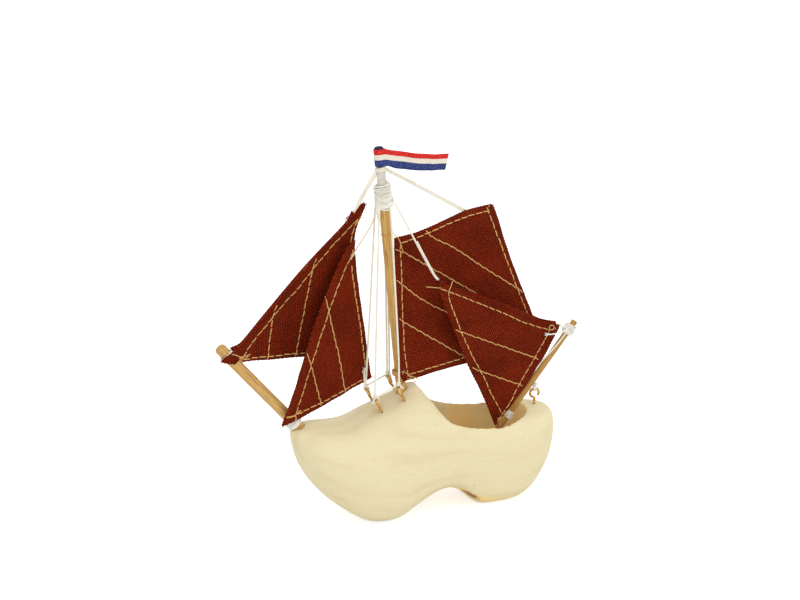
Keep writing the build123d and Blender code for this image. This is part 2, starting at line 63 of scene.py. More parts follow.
# camera
cameraLook = {"turn": -18.0, "rise": 17.0, "distance": 650.0, "lens": 58.5, "sensor": 36, "near": 0.01,
              "aim": (3.2, 16.7, 103.6)}
turn, rise = math.radians(cameraLook["turn"]), math.radians(cameraLook["rise"])
back = Vector((math.sin(turn) * math.cos(rise), -math.cos(turn) * math.cos(rise), math.sin(rise)))
camera = bpy.data.objects.new("camera", bpy.data.cameras.new("camera"))
bpy.context.scene.collection.objects.link(camera)
camera.data.lens = cameraLook["lens"]
camera.data.sensor_width = cameraLook["sensor"]
camera.data.clip_start = cameraLook["near"]
camera.location = (Vector(cameraLook["aim"]) + back * cameraLook["distance"]) * mm
camera.rotation_euler = back.to_track_quat("Z", "Y").to_euler()
bpy.context.scene.camera = camera


# frames of the spars and screw eyes, as (origin, x, y, z)
def spot(origin, xAxis, zAxis):
    x, z = Vector(xAxis).normalized(), Vector(zAxis).normalized()
    return Vector(origin), x, z.cross(x), z


def place(where, a, b, c):
    return where[0] + float(a) * where[1] + float(b) * where[2] + float(c) * where[3]


def leaning(origin, degrees, way):
    tilt = math.radians(degrees)
    if way == "fore":
        return spot(origin, (math.cos(tilt), 0, math.sin(tilt)), (-math.sin(tilt), 0, math.cos(tilt)))
    return spot(origin, (math.cos(tilt), 0, -math.sin(tilt)), (math.sin(tilt), 0, math.cos(tilt)))


def eyeSpot(origin, lean, turned):
    tilt, yaw = math.radians(lean), math.radians(turned)
    return spot(origin, (math.sin(yaw) * math.cos(tilt), math.cos(yaw), math.sin(yaw) * math.sin(tilt)),
                (-math.sin(tilt), 0, math.cos(tilt)))


mast = leaning((-1.6, 0, 62.3), 5.2, "fore")
bowsprit = leaning((-54.0, 0, 48.9), 39.7, "fore")
pole = leaning((37.3, 0, 17.0), 37.2, "aft")
eyes = {
    "portFore": eyeSpot((-14.2, -8, 54.9), 23, 4), "starFore": eyeSpot((-14.2, 8, 54.9), 23, 14),
    "portAft": eyeSpot((-2.9, -8, 60.3), 23, 16), "starAft": eyeSpot((-2.9, 8, 60.3), 23, 20),
    "hook": eyeSpot((70.6, 0, 45.8), 0, 90),
}


# shader helpers
def paint(red, green, blue):
    levels = [c / 255 for c in (red, green, blue)]
    return tuple(c / 12.92 if c < 0.04 else ((c + 0.055) / 1.055) ** 2.4 for c in levels) + (1.0,)


def colours(look, *names):
    return {name.capitalize(): paint(*look[name]) for name in names}


def fill(sockets, inputs):
    for name, value in inputs.items():
        if isinstance(value, bpy.types.NodeSocket):
            value.id_data.links.new(value, sockets[name])
        else:
            sockets[name].default_value = value


# a node in the given tree, or else in the tree of the sockets that feed it
def node(kind, inputs, tree=None, **settings):
    linked = [value for value in inputs.values() if isinstance(value, bpy.types.NodeSocket)]
    made = (tree or linked[0].id_data).nodes.new("ShaderNode" + kind)
    for name, value in settings.items():
        setattr(made, name, value)
    fill(made.inputs, inputs)
    return made


def calc(operation, *values):
    return node("Math", dict(enumerate(values)), operation=operation).outputs[0]


def times(first, second):
    return calc("MULTIPLY", first, second)


def wave(value, length=1.0):
    return calc("SINE", times(value, fullTurn / length))


def vectorCalc(operation, *values):
    made = node("VectorMath", dict(enumerate(values)), operation=operation)
    return made.outputs[1 if operation == "LENGTH" else 0]


def scaled(vector, scale):
    return vectorCalc("MULTIPLY", vector, scale)


def parts(vector):
    return node("SeparateXYZ", {0: vector}).outputs


def either(factor, first, second):
    return node("Mix", {0: factor, 2: first, 3: second}, data_type="FLOAT").outputs[0]


def mixed(factor, first, second):
    return node("Mix", {0: factor, 6: first, 7: second}, data_type="RGBA").outputs[2]


def stained(tone, colour, mask, strength):
    colour = paint(*colour) if isinstance(colour, tuple) else colour
    return mixed(times(mask, strength), tone, colour)


def between(value, low, high):
    return node("MapRange", {"Value": value, "From Min": low, "From Max": high},
                interpolation_type="SMOOTHSTEP").outputs[0]


def noise(vector, scale, detail=2.0, roughness=0.5):
    inputs = {"Vector": vector, "Scale": scale, "Detail": detail, "Roughness": roughness}
    return node("TexNoise", inputs).outputs


def drift(vector, scale):
    return vectorCalc("SUBTRACT", noise(vector, scale)[1], (0.5, 0.5, 0.5))


def startGroup(name, inputs, outputs):
    tree = bpy.data.node_groups.new(name, "ShaderNodeTree")
    for way, sockets in (("INPUT", inputs), ("OUTPUT", outputs)):
        for kind, names in sockets.items():
            for socketName in names:
                tree.interface.new_socket(socketName, in_out=way, socket_type="NodeSocket" + kind)
    return tree.nodes.new("NodeGroupInput").outputs, tree.nodes.new("NodeGroupOutput").inputs


def useGroup(name, inputs):
    return node("Group", inputs, node_tree=bpy.data.node_groups[name]).outputs


# wood: rings round a far pith, fibres and pores, all running along x, in millimetres
grainLook = {"drift": (0.012, 0.045, 0.045), "wander": (0.0, 26.0, 26.0), "latewood": 2.6,
             "patches": (0.02, 0.09, 0.09), "fibres": (0.05, 1.5, 1.5), "pores": (0.22, 3.6, 3.6)}


def makeWoodGrain():
    given, made = startGroup(
        "woodGrain", {"Vector": ["Vector", "Pith"], "Color": ["Early", "Late", "Pore"],
                      "Float": ["Ring gap", "Ring strength", "Fibre strength", "Pore strength"]},
        {"Color": ["Color"], "Float": ["Height", "Rings"]})
    vector = given["Vector"]
    swing = scaled(drift(scaled(vector, grainLook["drift"]), 1.0), grainLook["wander"])
    wandering = vectorCalc("ADD", vector, swing)
    across = scaled(vectorCalc("SUBTRACT", wandering, given["Pith"]), (0, 1, 1))
    rings = calc("DIVIDE", vectorCalc("LENGTH", across), given["Ring gap"])
    band = calc("POWER", calc("MULTIPLY_ADD", wave(rings), 0.5, 0.5), grainLook["latewood"])
    patchy, fibre, pore = (
        between(noise(scaled(vector, grainLook[name]), 1.0, *detail)[0], low, high)
        for name, detail, low, high in (("patches", (1.0,), 0.3, 0.72), ("fibres", (4.0, 0.62), 0.38, 0.68),
                                        ("pores", (1.0,), 0.64, 0.74)))
    band = times(band, patchy)
    tone = stained(given["Early"], given["Late"], band, given["Ring strength"])
    tone = stained(tone, given["Late"], fibre, given["Fibre strength"])
    tone = stained(tone, given["Pore"], pore, given["Pore strength"])
    fill(made, {"Color": tone, "Rings": band, "Height": calc("SUBTRACT", times(fibre, -0.4), pore)})


# canvas: plain weave of round threads over and under each other, with slubs and faded patches. Painted light:
# warp-topped cells are painted lighter than weft-topped ones as highlight dots, the gaps between threads are
# painted shade, and glints on thread tops and fuzz are painted highlights
weaveLook = {"sway": (0.7, 0.7, 0.0), "slub": (1.9, 0.6, 1), "slubAcross": (0.6, 1.9, 1), "crown": 0.35}


def makeCanvasWeave():
    given, made = startGroup(
        "canvasWeave", {"Vector": ["Vector"], "Float": ["Pitch"], "Color": ["Face", "Weft", "Gap", "Glint"]},
        {"Color": ["Color"], "Float": ["Height"]})
    vector = given["Vector"]
    swayed = vectorCalc("ADD", vector, scaled(drift(vector, 0.22), weaveLook["sway"]))
    waves = [wave(calc("DIVIDE", part, given["Pitch"]), 2) for part in parts(swayed)[:2]]
    warp, weft = (calc("ABSOLUTE", each) for each in waves)
    upright = times(warp, calc("POWER", weft, weaveLook["crown"]))
    level = times(calc("POWER", warp, weaveLook["crown"]), weft)
    warpOnTop = calc("GREATER_THAN", times(*waves), 0.0)
    top = either(warpOnTop, level, upright)
    slub, slubAcross = (noise(scaled(swayed, weaveLook[name]), 1.0)[0] for name in ("slub", "slubAcross"))
    yarn = either(warpOnTop, slubAcross, slub)
    fuzz = noise(vector, 6.0, 3.0, 0.7)[0]
    faded = noise(vector, 0.045, 3.0, 0.6)[0]
    # painted highlight and shade: one yarn, lighter where the warp is on top and darker where the weft is
    thread = mixed(warpOnTop, given["Weft"], given["Face"])
    # painted shade in the gaps between the threads
    tone = mixed(between(top, 0.16, 0.78), given["Gap"], thread)
    # painted highlights on the thread tops
    glint = times(between(yarn, 0.42, 0.62), between(top, 0.5, 0.98))
    glint = times(glint, calc("MULTIPLY_ADD", warpOnTop, 0.6, 0.25))
    tone = mixed(glint, tone, given["Glint"])
    tone = stained(tone, given["Gap"], between(faded, 0.38, 0.66), 0.28)
    # painted highlight on the fuzz
    tone = stained(tone, given["Glint"], between(fuzz, 0.55, 0.8), 0.25)
    fill(made, {"Color": tone, "Height": calc("ADD", top, times(fuzz, 0.25))})


# spun yarn: fine fibres and soft grey in the lows
def makeYarn():
    given, made = startGroup(
        "yarn", {"Vector": ["Vector"], "Float": ["Fineness"], "Color": ["Clean", "Shade"]},
        {"Color": ["Color"], "Float": ["Height"]})
    fibre = noise(given["Vector"], given["Fineness"], 4.0, 0.65)[0]
    slow = noise(given["Vector"], 0.12)[0]
    tone = mixed(between(fibre, 0.45, 0.75), given["Clean"], given["Shade"])
    tone = stained(tone, given["Shade"], between(slow, 0.45, 0.7), 0.35)
    fill(made, {"Color": tone, "Height": fibre})


# marks left by hands and the bench: soft smudges and small specks
def makeHandling():
    given, made = startGroup("handling", {"Vector": ["Vector"]}, {"Float": ["Smudge", "Speck"]})
    vector = given["Vector"]
    smudge = noise(vectorCalc("DIVIDE", vector, (10, 10, 10)), 10.0 / 12.0, 4.0, 0.6)[0]
    dots = node("TexVoronoi", {"Vector": vector, "Scale": 0.11, "Randomness": 1.0}).outputs[0]
    keep = noise(vector, 0.05, 0.0)[0]
    speck = times(between(dots, 0.075, 0.03), between(keep, 0.5, 0.6))
    fill(made, {"Smudge": between(smudge, 0.52, 0.78), "Speck": speck})


for makeGroup in (makeWoodGrain, makeCanvasWeave, makeYarn, makeHandling):
    makeGroup()
print("shader groups built")


# materials
materials = {}


def startMaterial(name, sockets):
    materials[name] = bpy.data.materials.new(name)
    materials[name].use_nodes = True
    shader = materials[name].node_tree.nodes["Principled BSDF"]
    fill(shader.inputs, sockets)
    return shader


def bumped(shader, height, depth, strength):
    bump = node("Bump", {"Height": height, "Distance": depth * mm, "Strength": strength})
    fill(shader.inputs, {"Normal": bump.outputs[0]})


def mapped(vector, turned, scale=1.0):
    return node("Mapping", {"Vector": vector, "Scale": (scale, scale, scale),
                            "Rotation": [math.radians(angle) for angle in turned]}).outputs[0]


def millimetres(shader, turned=0.0):
    return mapped(node("TexCoord", {}, shader.id_data).outputs["Object"], (0, turned, 0), 1000)


# the cloth's own coordinates are kept in units of this many millimetres
clothUnit = 100


def clothCoordinates(shader):
    return scaled(node("UVMap", {}, shader.id_data, uv_map="cloth").outputs[0], (clothUnit,) * 3)


poplarLook = {
    "early": (240, 228, 187), "late": (229, 211, 166), "pore": (200, 170, 124), "pith": (0, 72, -46),
    "ringGap": 7.5, "grainTurn": -6.0, "stain": (116, 62, 34), "stainAt": (30.0, -17.5, 7.6),
    "stainTurn": -35, "stainShape": (0.24, 0.2, 0.95), "stainEdge": (2.8, 1.4), "soleEdge": (1.7, 0.6),
    # painted bounce light: a warmer, lighter tone inside the well, standing in for light bounced round it
    "hollow": (255, 224, 156), "hollowAt": (36.0, 0, 0), "hollowShape": (1 / 30.2, 1 / 18.4, 0),
    "hollowEdge": (1.02, 0.94), "smudge": (222, 205, 174), "smudgeAt": (-9.5, 8.0, 57.0),
    "smudgeShape": (0.085, 0.19, 0.14), "smudgeEdge": (1.75, 0.9)}


def makePoplar():
    look = poplarLook
    shader = startMaterial("poplar", {"Specular IOR Level": 0.35})
    vector, level = millimetres(shader, look["grainTurn"]), millimetres(shader)

    def roughened(value, strength, *settings):
        return calc("ADD", value, times(noise(level, *settings)[0], strength))

    def farness(position, name):
        away = vectorCalc("SUBTRACT", position, look[name + "At"])
        if name == "stain":
            away = mapped(away, (0, look["stainTurn"], 0))
        return vectorCalc("LENGTH", scaled(away, look[name + "Shape"]))

    grain = useGroup("woodGrain", {
        "Vector": vector, "Pith": look["pith"], "Ring gap": look["ringGap"], "Ring strength": 0.75,
        "Fibre strength": 0.22, "Pore strength": 0.35, **colours(look, "early", "late", "pore")})
    marks = useGroup("handling", {"Vector": vector})
    tone = stained(grain["Color"], look["late"], marks["Smudge"], 0.22)
    tone = stained(tone, look["pore"], marks["Speck"], 0.7)
    bothSides = vectorCalc("ADD", vectorCalc("ABSOLUTE", scaled(level, (0, 1, 0))), scaled(level, (1, 0, 1)))
    grubby = between(roughened(farness(bothSides, "smudge"), 1.5, 0.28, 4.0, 0.6), *look["smudgeEdge"])
    tone = stained(tone, look["smudge"], grubby, 0.34)
    # painted bounce light inside the well, warmer and lighter than the wood
    tone = stained(tone, look["hollow"], between(farness(level, "hollow"), *look["hollowEdge"]), 0.85)
    stain = between(roughened(farness(level, "stain"), 1.7, 0.7, 3.0), *look["stainEdge"])
    # darker towards the bottom edge of the sole, in the stain's colour; mixed below with the heel stain
    sole = between(roughened(parts(level)[2], 1.4, 0.35), *look["soleEdge"])
    stainAndLowEdge = calc("MAXIMUM", times(stain, 0.85), times(sole, 0.55))
    fill(shader.inputs, {"Base Color": mixed(stainAndLowEdge, tone, paint(*look["stain"])),
                         "Roughness": calc("MULTIPLY_ADD", marks["Smudge"], -0.1, 0.66)})
    bumped(shader, grain["Height"], 0.035, 0.6)


dowelLooks = {
    "mastDowel": {"turned": 95.2, "early": (228, 187, 108), "late": (198, 149, 74), "pore": (136, 88, 42),
                  "pith": (0, 3, 5), "knots": ((-10.4, -2.2, 134.0), (-10.2, -2.3, 132.4))},
    "bowspritDowel": {"turned": 129.7, "early": (224, 181, 108), "late": (188, 140, 72),
                      "pore": (112, 72, 36), "pith": (0, -4, 5), "knots": ()},
    "poleDowel": {"turned": 52.8, "early": (198, 152, 74), "late": (164, 116, 48), "pore": (108, 68, 28),
                  "pith": (0, 4, -4), "knots": ()},
}


def makeDowel(name, look):
    shader = startMaterial(name, {"Specular IOR Level": 0.4})
    along = millimetres(shader, look["turned"])
    vector = scaled(along, (0.6, 0.6, 0.6))
    grain = useGroup("woodGrain", {
        "Vector": vector, "Pith": look["pith"], "Ring gap": 0.8, "Ring strength": 0.7,
        "Fibre strength": 0.75, "Pore strength": 0.9, **colours(look, "early", "late", "pore")})
    marks = useGroup("handling", {"Vector": vector})
    tone = stained(grain["Color"], look["late"], marks["Smudge"], 0.45)
    streak = noise(scaled(along, (0.13, 2.6, 2.6)), 1.0, 3.0, 0.6)[0]
    tone = stained(tone, look["pore"], between(streak, 0.5, 0.66), 0.42)
    for knotAt in look["knots"]:
        away = vectorCalc("LENGTH", vectorCalc("SUBTRACT", millimetres(shader), knotAt))
        tone = stained(tone, look["pore"], between(away, 1.0, 0.45), 0.7)
    fill(shader.inputs, {"Base Color": tone,
                         "Roughness": calc("MULTIPLY_ADD", grain["Rings"], 0.15, 0.5)})
    bumped(shader, grain["Height"], 0.05, 0.8)


# face and weft are painted lit and shaded thread tops, gap is painted shade between threads, glint is a
# painted highlight
canvasLook = {"face": (168, 47, 15), "weft": (90, 17, 6), "gap": (43, 7, 4), "glint": (218, 93, 39),
              "sheen": (200, 90, 50), "pitch": 0.64, "thickness": 0.16}


def makeCanvas(name, turned):
    look = canvasLook
    shader = startMaterial(name, {
        "Roughness": 0.92, "Specular IOR Level": 0.06, "Sheen Weight": 0.03, "Sheen Roughness": 0.5,
        "Sheen Tint": paint(*look["sheen"])})
    vector = clothCoordinates(shader)
    if turned:
        vector = mapped(vector, (0, 0, turned))
    weave = useGroup("canvasWeave", {"Vector": vector, "Pitch": look["pitch"],
                                     **colours(look, "face", "weft", "gap", "glint")})
    fill(shader.inputs, {"Base Color": weave["Color"]})
    bumped(shader, weave["Height"], look["thickness"], 0.95)


yarnLooks = {
    "whiteCord": {"clean": (252, 250, 242), "shade": (236, 229, 212), "fineness": 3.0},
    "creamCord": {"clean": (252, 247, 232), "shade": (238, 229, 208), "fineness": 3.0},
    "creamThread": {"clean": (244, 230, 200), "shade": (218, 198, 160), "fineness": 4.0},
    "ochreThread": {"clean": (230, 186, 118), "shade": (192, 142, 78), "fineness": 4.5},
    "canvasYarn": {"clean": (136, 50, 26), "shade": (84, 24, 12), "fineness": 5.0},
}


def makeYarnMaterial(name, look):
    shader = startMaterial(name, {
        "Roughness": 0.85, "Specular IOR Level": 0.15, "Sheen Weight": 0.05, "Sheen Roughness": 0.5})
    yarn = useGroup("yarn", {"Vector": millimetres(shader), "Fineness": look["fineness"],
                             **colours(look, "clean", "shade")})
    fill(shader.inputs, {"Base Color": yarn["Color"]})
    bumped(shader, yarn["Height"], 0.05, 0.8)


brassLook = {"bright": (226, 186, 112), "dull": (176, 128, 66), "groove": (120, 78, 38), "thread": 1.15,
             "threadTurn": (24, -10, 0)}


def makeBrass():
    look = brassLook
    shader = startMaterial("brass", {"Metallic": 0.85})
    vector = millimetres(shader)
    marks = useGroup("handling", {"Vector": vector})
    cloudy = between(noise(vector, 0.8, 4.0, 0.6)[0], 0.4, 0.7)
    turns = wave(parts(mapped(vector, look["threadTurn"]))[2], look["thread"])
    tone = mixed(cloudy, paint(*look["bright"]), paint(*look["dull"]))
    tone = stained(tone, look["groove"], between(turns, 0.1, -0.8), 0.4)
    fill(shader.inputs, {"Base Color": stained(tone, look["dull"], marks["Smudge"], 0.5),
                         "Roughness": calc("MULTIPLY_ADD", cloudy, 0.22, 0.24)})
    bumped(shader, turns, 0.07, 0.9)


capLook = {"dark": (16, 19, 42), "worn": (46, 52, 82), "streaks": (1, 1, 0.25)}


def makeCapPaint():
    shader = startMaterial("capPaint", {"Roughness": 0.6, "Specular IOR Level": 0.2})
    brushed = noise(scaled(millimetres(shader), capLook["streaks"]), 1.2, 4.0, 0.6)[0]
    brushed = between(brushed, 0.35, 0.7)
    fill(shader.inputs, {"Base Color": mixed(brushed, paint(*capLook["dark"]), paint(*capLook["worn"]))})
    bumped(shader, brushed, 0.03, 0.6)


sleeveLook = {"paper": (226, 222, 210), "grey": (204, 198, 184)}


def makeSleeve():
    shader = startMaterial("sleevePaper", {
        "Roughness": 0.6, "Subsurface Weight": 0.1, "Subsurface Scale": 0.001})
    cloudy = noise(millimetres(shader), 0.5, 4.0, 0.6)[0]
    fill(shader.inputs, {"Base Color": mixed(between(cloudy, 0.4, 0.65), paint(*sleeveLook["paper"]),
                                             paint(*sleeveLook["grey"]))})
    bumped(shader, cloudy, 0.06, 0.6)


ribbonLook = {"red": (216, 28, 22), "white": (240, 232, 214), "blue": (34, 56, 120), "faded": (236, 220, 200),
              "blueEdge": (0.372, 0.387), "redEdge": (0.675, 0.69), "ribs": 0.42, "warp": 0.28, "height": 8.1}


def makeRibbon():
    look = ribbonLook
    shader = startMaterial("ribbon", {
        "Roughness": 0.6, "Sheen Weight": 0.03, "Sheen Roughness": 0.35, "Specular IOR Level": 0.15})
    vector = clothCoordinates(shader)
    along, up = parts(vector)[:2]
    ragged = calc("MULTIPLY_ADD", noise(vector, 2.2)[0], 0.12, -0.06)
    height = calc("DIVIDE", calc("ADD", up, ragged), look["height"])
    tone = mixed(between(height, *look["blueEdge"]), paint(*look["blue"]), paint(*look["white"]))
    tone = mixed(between(height, *look["redEdge"]), tone, paint(*look["red"]))
    grainy = noise(vector, 1.4, 3.0)[0]
    tone = stained(tone, look["faded"], between(grainy, 0.45, 0.75), 0.16)
    fill(shader.inputs, {"Base Color": tone})
    ribs, warp = wave(along, look["ribs"]), wave(up, look["warp"])
    bumped(shader, calc("ADD", times(ribs, 0.7), times(warp, 0.3)), 0.03, 0.7)


for makeMaterial in (makePoplar, makeBrass, makeCapPaint, makeSleeve, makeRibbon):
    makeMaterial()
for name, turned in (("canvas", 0.0), ("canvasTurned", 27.0)):
    makeCanvas(name, turned)
for name, look in dowelLooks.items():
    makeDowel(name, look)
for name, look in yarnLooks.items():
    makeYarnMaterial(name, look)
print("materials built:", len(materials))

brassNodes = ("port_fore_eye", "starboard_fore_eye", "port_aft_eye", "starboard_aft_eye", "stern_hook")
for name, material in {"mast": "mastDowel", "bowsprit": "bowspritDowel", "stern_pole": "poleDowel",
                       "mast_cap": "capPaint", "masthead_sleeve": "sleevePaper",
                       **dict.fromkeys(brassNodes, "brass")}.items():
    nodes[name].data.materials.clear()
    nodes[name].data.materials.append(materials[material])


# making pieces
def newPiece(name, mesh, material, body, stands=()):
    piece = bpy.data.objects.new(name, mesh)
    bpy.context.scene.collection.objects.link(piece)
    mesh.materials.clear()
    mesh.materials.append(materials[material])
    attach(piece, body)
    if stands:
        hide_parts(*stands)
    return piece


def pickOnly(piece):
    bpy.ops.object.select_all(action="DESELECT")
    piece.select_set(True)
    bpy.context.view_layer.objects.active = piece


def editWhole(piece, operator, **settings):
    pickOnly(piece)
    bpy.ops.object.mode_set(mode="EDIT")
    bpy.ops.mesh.select_all(action="SELECT")
    operator(**settings)
    bpy.ops.object.mode_set(mode="OBJECT")


def modify(piece, kind, **settings):
    pickOnly(piece)
    modifier = piece.modifiers.new(kind.title(), kind)
    for name, value in settings.items():
        setattr(modifier, name, value)
    bpy.ops.object.modifier_apply(modifier=modifier.name)


# each nudge: where, how far, and the reach round it
hullLook = {"weld": 0.01, "grid": 0.7, "rounding": 14, "nudges": (
    ((-9.0, -9.0, 58.0), (0.0, 0.0, -1.5), 15.0), ((-9.0, 9.0, 58.0), (0.0, 0.0, -1.1), 15.0),
    ((-28.0, 0.0, 52.0), (0.0, 0.0, -0.8), 20.0), ((81.0, 0.0, 40.0), (-1.9, 0.0, 0.0), 24.0),
    ((78.0, 0.0, 16.0), (1.0, 0.0, -0.4), 14.0))}


def nudge(piece, where, by, reach):
    aim = Vector(where) * mm
    closest = min(piece.data.vertices, key=lambda vertex: (vertex.co - aim).length_squared)
    for flags in (piece.data.vertices, piece.data.edges, piece.data.polygons):
        flags.foreach_set("select", [False] * len(flags))
    closest.select = True
    bpy.ops.object.mode_set(mode="EDIT")
    bpy.ops.transform.translate(value=[step * mm for step in by], use_proportional_edit=True,
                                proportional_edit_falloff="SMOOTH", proportional_size=reach * mm)
    bpy.ops.object.mode_set(mode="OBJECT")


def makeHull():
    look = hullLook
    mesh = nodes["hull"].data.copy()
    mesh.name = "clogHull"
    piece = newPiece("clogHull", mesh, "poplar", "boat", ["hull"])
    editWhole(piece, bpy.ops.mesh.remove_doubles, threshold=look["weld"] * mm)
    modify(piece, "REMESH", mode="VOXEL", voxel_size=look["grid"] * mm)
    modify(piece, "SMOOTH", factor=0.5, iterations=look["rounding"])
    for where, by, reach in look["nudges"]:
        nudge(piece, where, by, reach)
    bpy.ops.object.shade_smooth()
    print("hull:", len(piece.data.polygons), "faces")


makeHull()


# shapes gathered as points, faces and cloth coordinates, in millimetres
def startShape():
    return {"points": [], "faces": [], "cloth": []}


def shapeMesh(name, shape):
    mesh = bpy.data.meshes.new(name)
    mesh.from_pydata([tuple(c * mm for c in point) for point in shape["points"]], [], shape["faces"])
    if shape["cloth"]:
        layer = mesh.uv_layers.new(name="cloth")
        corner = np.zeros(len(mesh.loops), dtype=np.int64)
        mesh.loops.foreach_get("vertex_index", corner)
        layer.data.foreach_set("uv", (np.array(shape["cloth"], float)[corner] / clothUnit).ravel())
    mesh.polygons.foreach_set("use_smooth", [True] * len(mesh.polygons))
    mesh.validate()
    return mesh


def addQuad(shape, a, b, c, d, flip):
    shape["faces"].append((a, d, c, b) if flip else (a, b, c, d))


def addGrid(shape, first, rows, columns, flip=False, closed=False):
    for row in range(rows - 1):
        start = first + row * columns
        for k in range(columns if closed else columns - 1):
            a, b = start + k, start + (k + 1) % columns
            addQuad(shape, a, b, b + columns, a + columns, flip)


# the two faces of a sheet, each a grid of points in a new shape, and the rim that joins them
def addSheetFaces(shape, rows, columns, flip=False):
    back = rows * columns
    addGrid(shape, 0, rows, columns, flip)
    addGrid(shape, back, rows, columns, not flip)
    rim = ([i * columns for i in range(rows)] + [(rows - 1) * columns + j for j in range(1, columns)]
           + [i * columns + columns - 1 for i in range(rows - 2, -1, -1)] + list(range(columns - 2, 0, -1)))
    for a, b in zip(rim, rim[1:] + rim[:1]):
        addQuad(shape, a, b, back + b, back + a, flip)


def runAlong(line):
    return np.concatenate(([0], np.cumsum(np.linalg.norm(np.diff(line, axis=0), axis=1))))


def pointsAt(line, run, stops):
    return np.column_stack([np.interp(stops, run, part) for part in line.T])


def crossings(line):
    ahead = np.gradient(line, axis=0)
    ahead /= np.linalg.norm(ahead, axis=1)[:, None] + 1e-12
    side = np.cross(ahead[0], (0.0, 0.0, 1.0) if abs(ahead[0][2]) < 0.9 else (1.0, 0.0, 0.0))
    across = []
    for way in ahead:
        side = side - way * np.dot(side, way)
        side = side / np.linalg.norm(side)
        across.append(side)
    across = np.array(across)
    return across, np.cross(ahead, across)


def addTube(shape, line, radius, sides):
    line = np.asarray(line, float)
    across, up = (part[:, None] for part in crossings(line))
    angles = (np.arange(sides) * fullTurn / sides)[None, :, None]
    thick = np.broadcast_to(radius, len(line))[:, None, None]
    rings = line[:, None] + thick * (np.cos(angles) * across + np.sin(angles) * up)
    first = len(shape["points"])
    shape["points"].extend(map(tuple, rings.reshape(-1, 3)))
    addGrid(shape, first, len(line), sides, closed=True)
    last = first + (len(line) - 1) * sides
    shape["faces"].append(tuple(first + k for k in reversed(range(sides))))
    shape["faces"].append(tuple(last + k for k in range(sides)))


# a cord's strands, by their number: how far off its middle and how thick, as shares of its diameter
ropeLook = {3: (0.268, 0.245), 2: (0.25, 0.27), "steps": 9, "sides": 6, "flare": 2.6, "flarePower": 1.6}


def addRope(shape, line, diameter, strands=3, lay=2.6, splay=0.0):
    run = runAlong(line)
    stops = np.linspace(0, run[-1], max(2, int(run[-1] / (lay * diameter / ropeLook["steps"])) + 1))
    centre = pointsAt(line, run, stops)
    across, up = crossings(centre)
    wind, thick = (share * diameter for share in ropeLook[strands])
    reach = np.ones(len(stops))
    if splay:
        frayed = np.clip((stops - stops[-1] + splay) / splay, 0, 1)
        reach += ropeLook["flare"] * frayed ** ropeLook["flarePower"]
    for strand in range(strands):
        angle = stops * fullTurn / (lay * diameter) + strand * fullTurn / strands
        offset = (wind * reach)[:, None] * (np.cos(angle)[:, None] * across + np.sin(angle)[:, None] * up)
        addTube(shape, centre + offset, thick, ropeLook["sides"])


# the smooth line of a cord, read from its spline
def routeLine(points):
    curve = bpy.data.curves.new("route", "CURVE")
    curve.dimensions = "3D"
    spline = curve.splines.new("NURBS")
    spline.points.add(len(points) - 1)
    for controlPoint, here in zip(spline.points, points):
        controlPoint.co = (*here, 1.0)
    spline.order_u = 3
    spline.use_endpoint_u = True
    spline.resolution_u = 12
    holder = bpy.data.objects.new("route", curve)
    bpy.context.scene.collection.objects.link(holder)
    read = bpy.data.meshes.new_from_object(holder)
    line = np.array([vertex.co for vertex in read.vertices])
    bpy.data.objects.remove(holder)
    bpy.data.curves.remove(curve)
    bpy.data.meshes.remove(read)
    return line


# an overhand knot
knotLook = {"steps": 60, "depth": 1.1}


def knotLine(where, size):
    turns = np.linspace(0, fullTurn, knotLook["steps"])
    x = np.sin(turns) + 2 * np.sin(2 * turns)
    y = np.cos(turns) - 2 * np.cos(2 * turns)
    z = -np.sin(3 * turns) * knotLook["depth"]
    return np.array([place(where, size * a, size * b, size * c) for a, b, c in zip(x, y, z)])


# turns of thread round a spar, never quite even
windingLook = {"steps": 22, "bumps": 9, "rise": 1.3, "pace": 2.3}


def windingLine(where, radius, start, end, turns, wobble, phase=0.0, slope=0.0, tilt=0.0):
    stops = np.linspace(0, 1, int(turns * windingLook["steps"]) + 1)
    bumps = [random.uniform(-1, 1) for _ in range(windingLook["bumps"])]
    rises = [random.uniform(0, windingLook["rise"] * wobble) for _ in range(int(turns) + 2)]
    line = []
    for stop in stops:
        angle = fullTurn * turns * stop + phase
        shift = sum(b * math.sin((k + 1) * windingLook["pace"] * stop * turns + b * 7)
                    for k, b in enumerate(bumps)) / 4
        along = start + (end - start) * stop + shift * wobble + slope * math.sin(angle)
        along += tilt * math.cos(angle)
        out = radius + np.interp(stop * turns, range(len(rises)), rises)
        line.append(place(where, out * math.cos(angle), out * math.sin(angle), along))
    return np.array(line)


# loose fibres that stand off a cord or a cut edge
tuftLook = {"points": 6, "sides": 4, "bend": 0.5, "taper": 0.5}


def addTufts(shape, middle, ways, length, thickness):
    look = tuftLook
    stops = np.linspace(0, 1, look["points"])
    for way in ways:
        way = Vector(way)
        bend = Vector([random.uniform(-look["bend"], look["bend"]) for _ in range(3)])
        line = [Vector(middle) + way * length * s + bend * length * s * s for s in stops]
        addTube(shape, line, thickness * (1 - look["taper"] * stops), look["sides"])


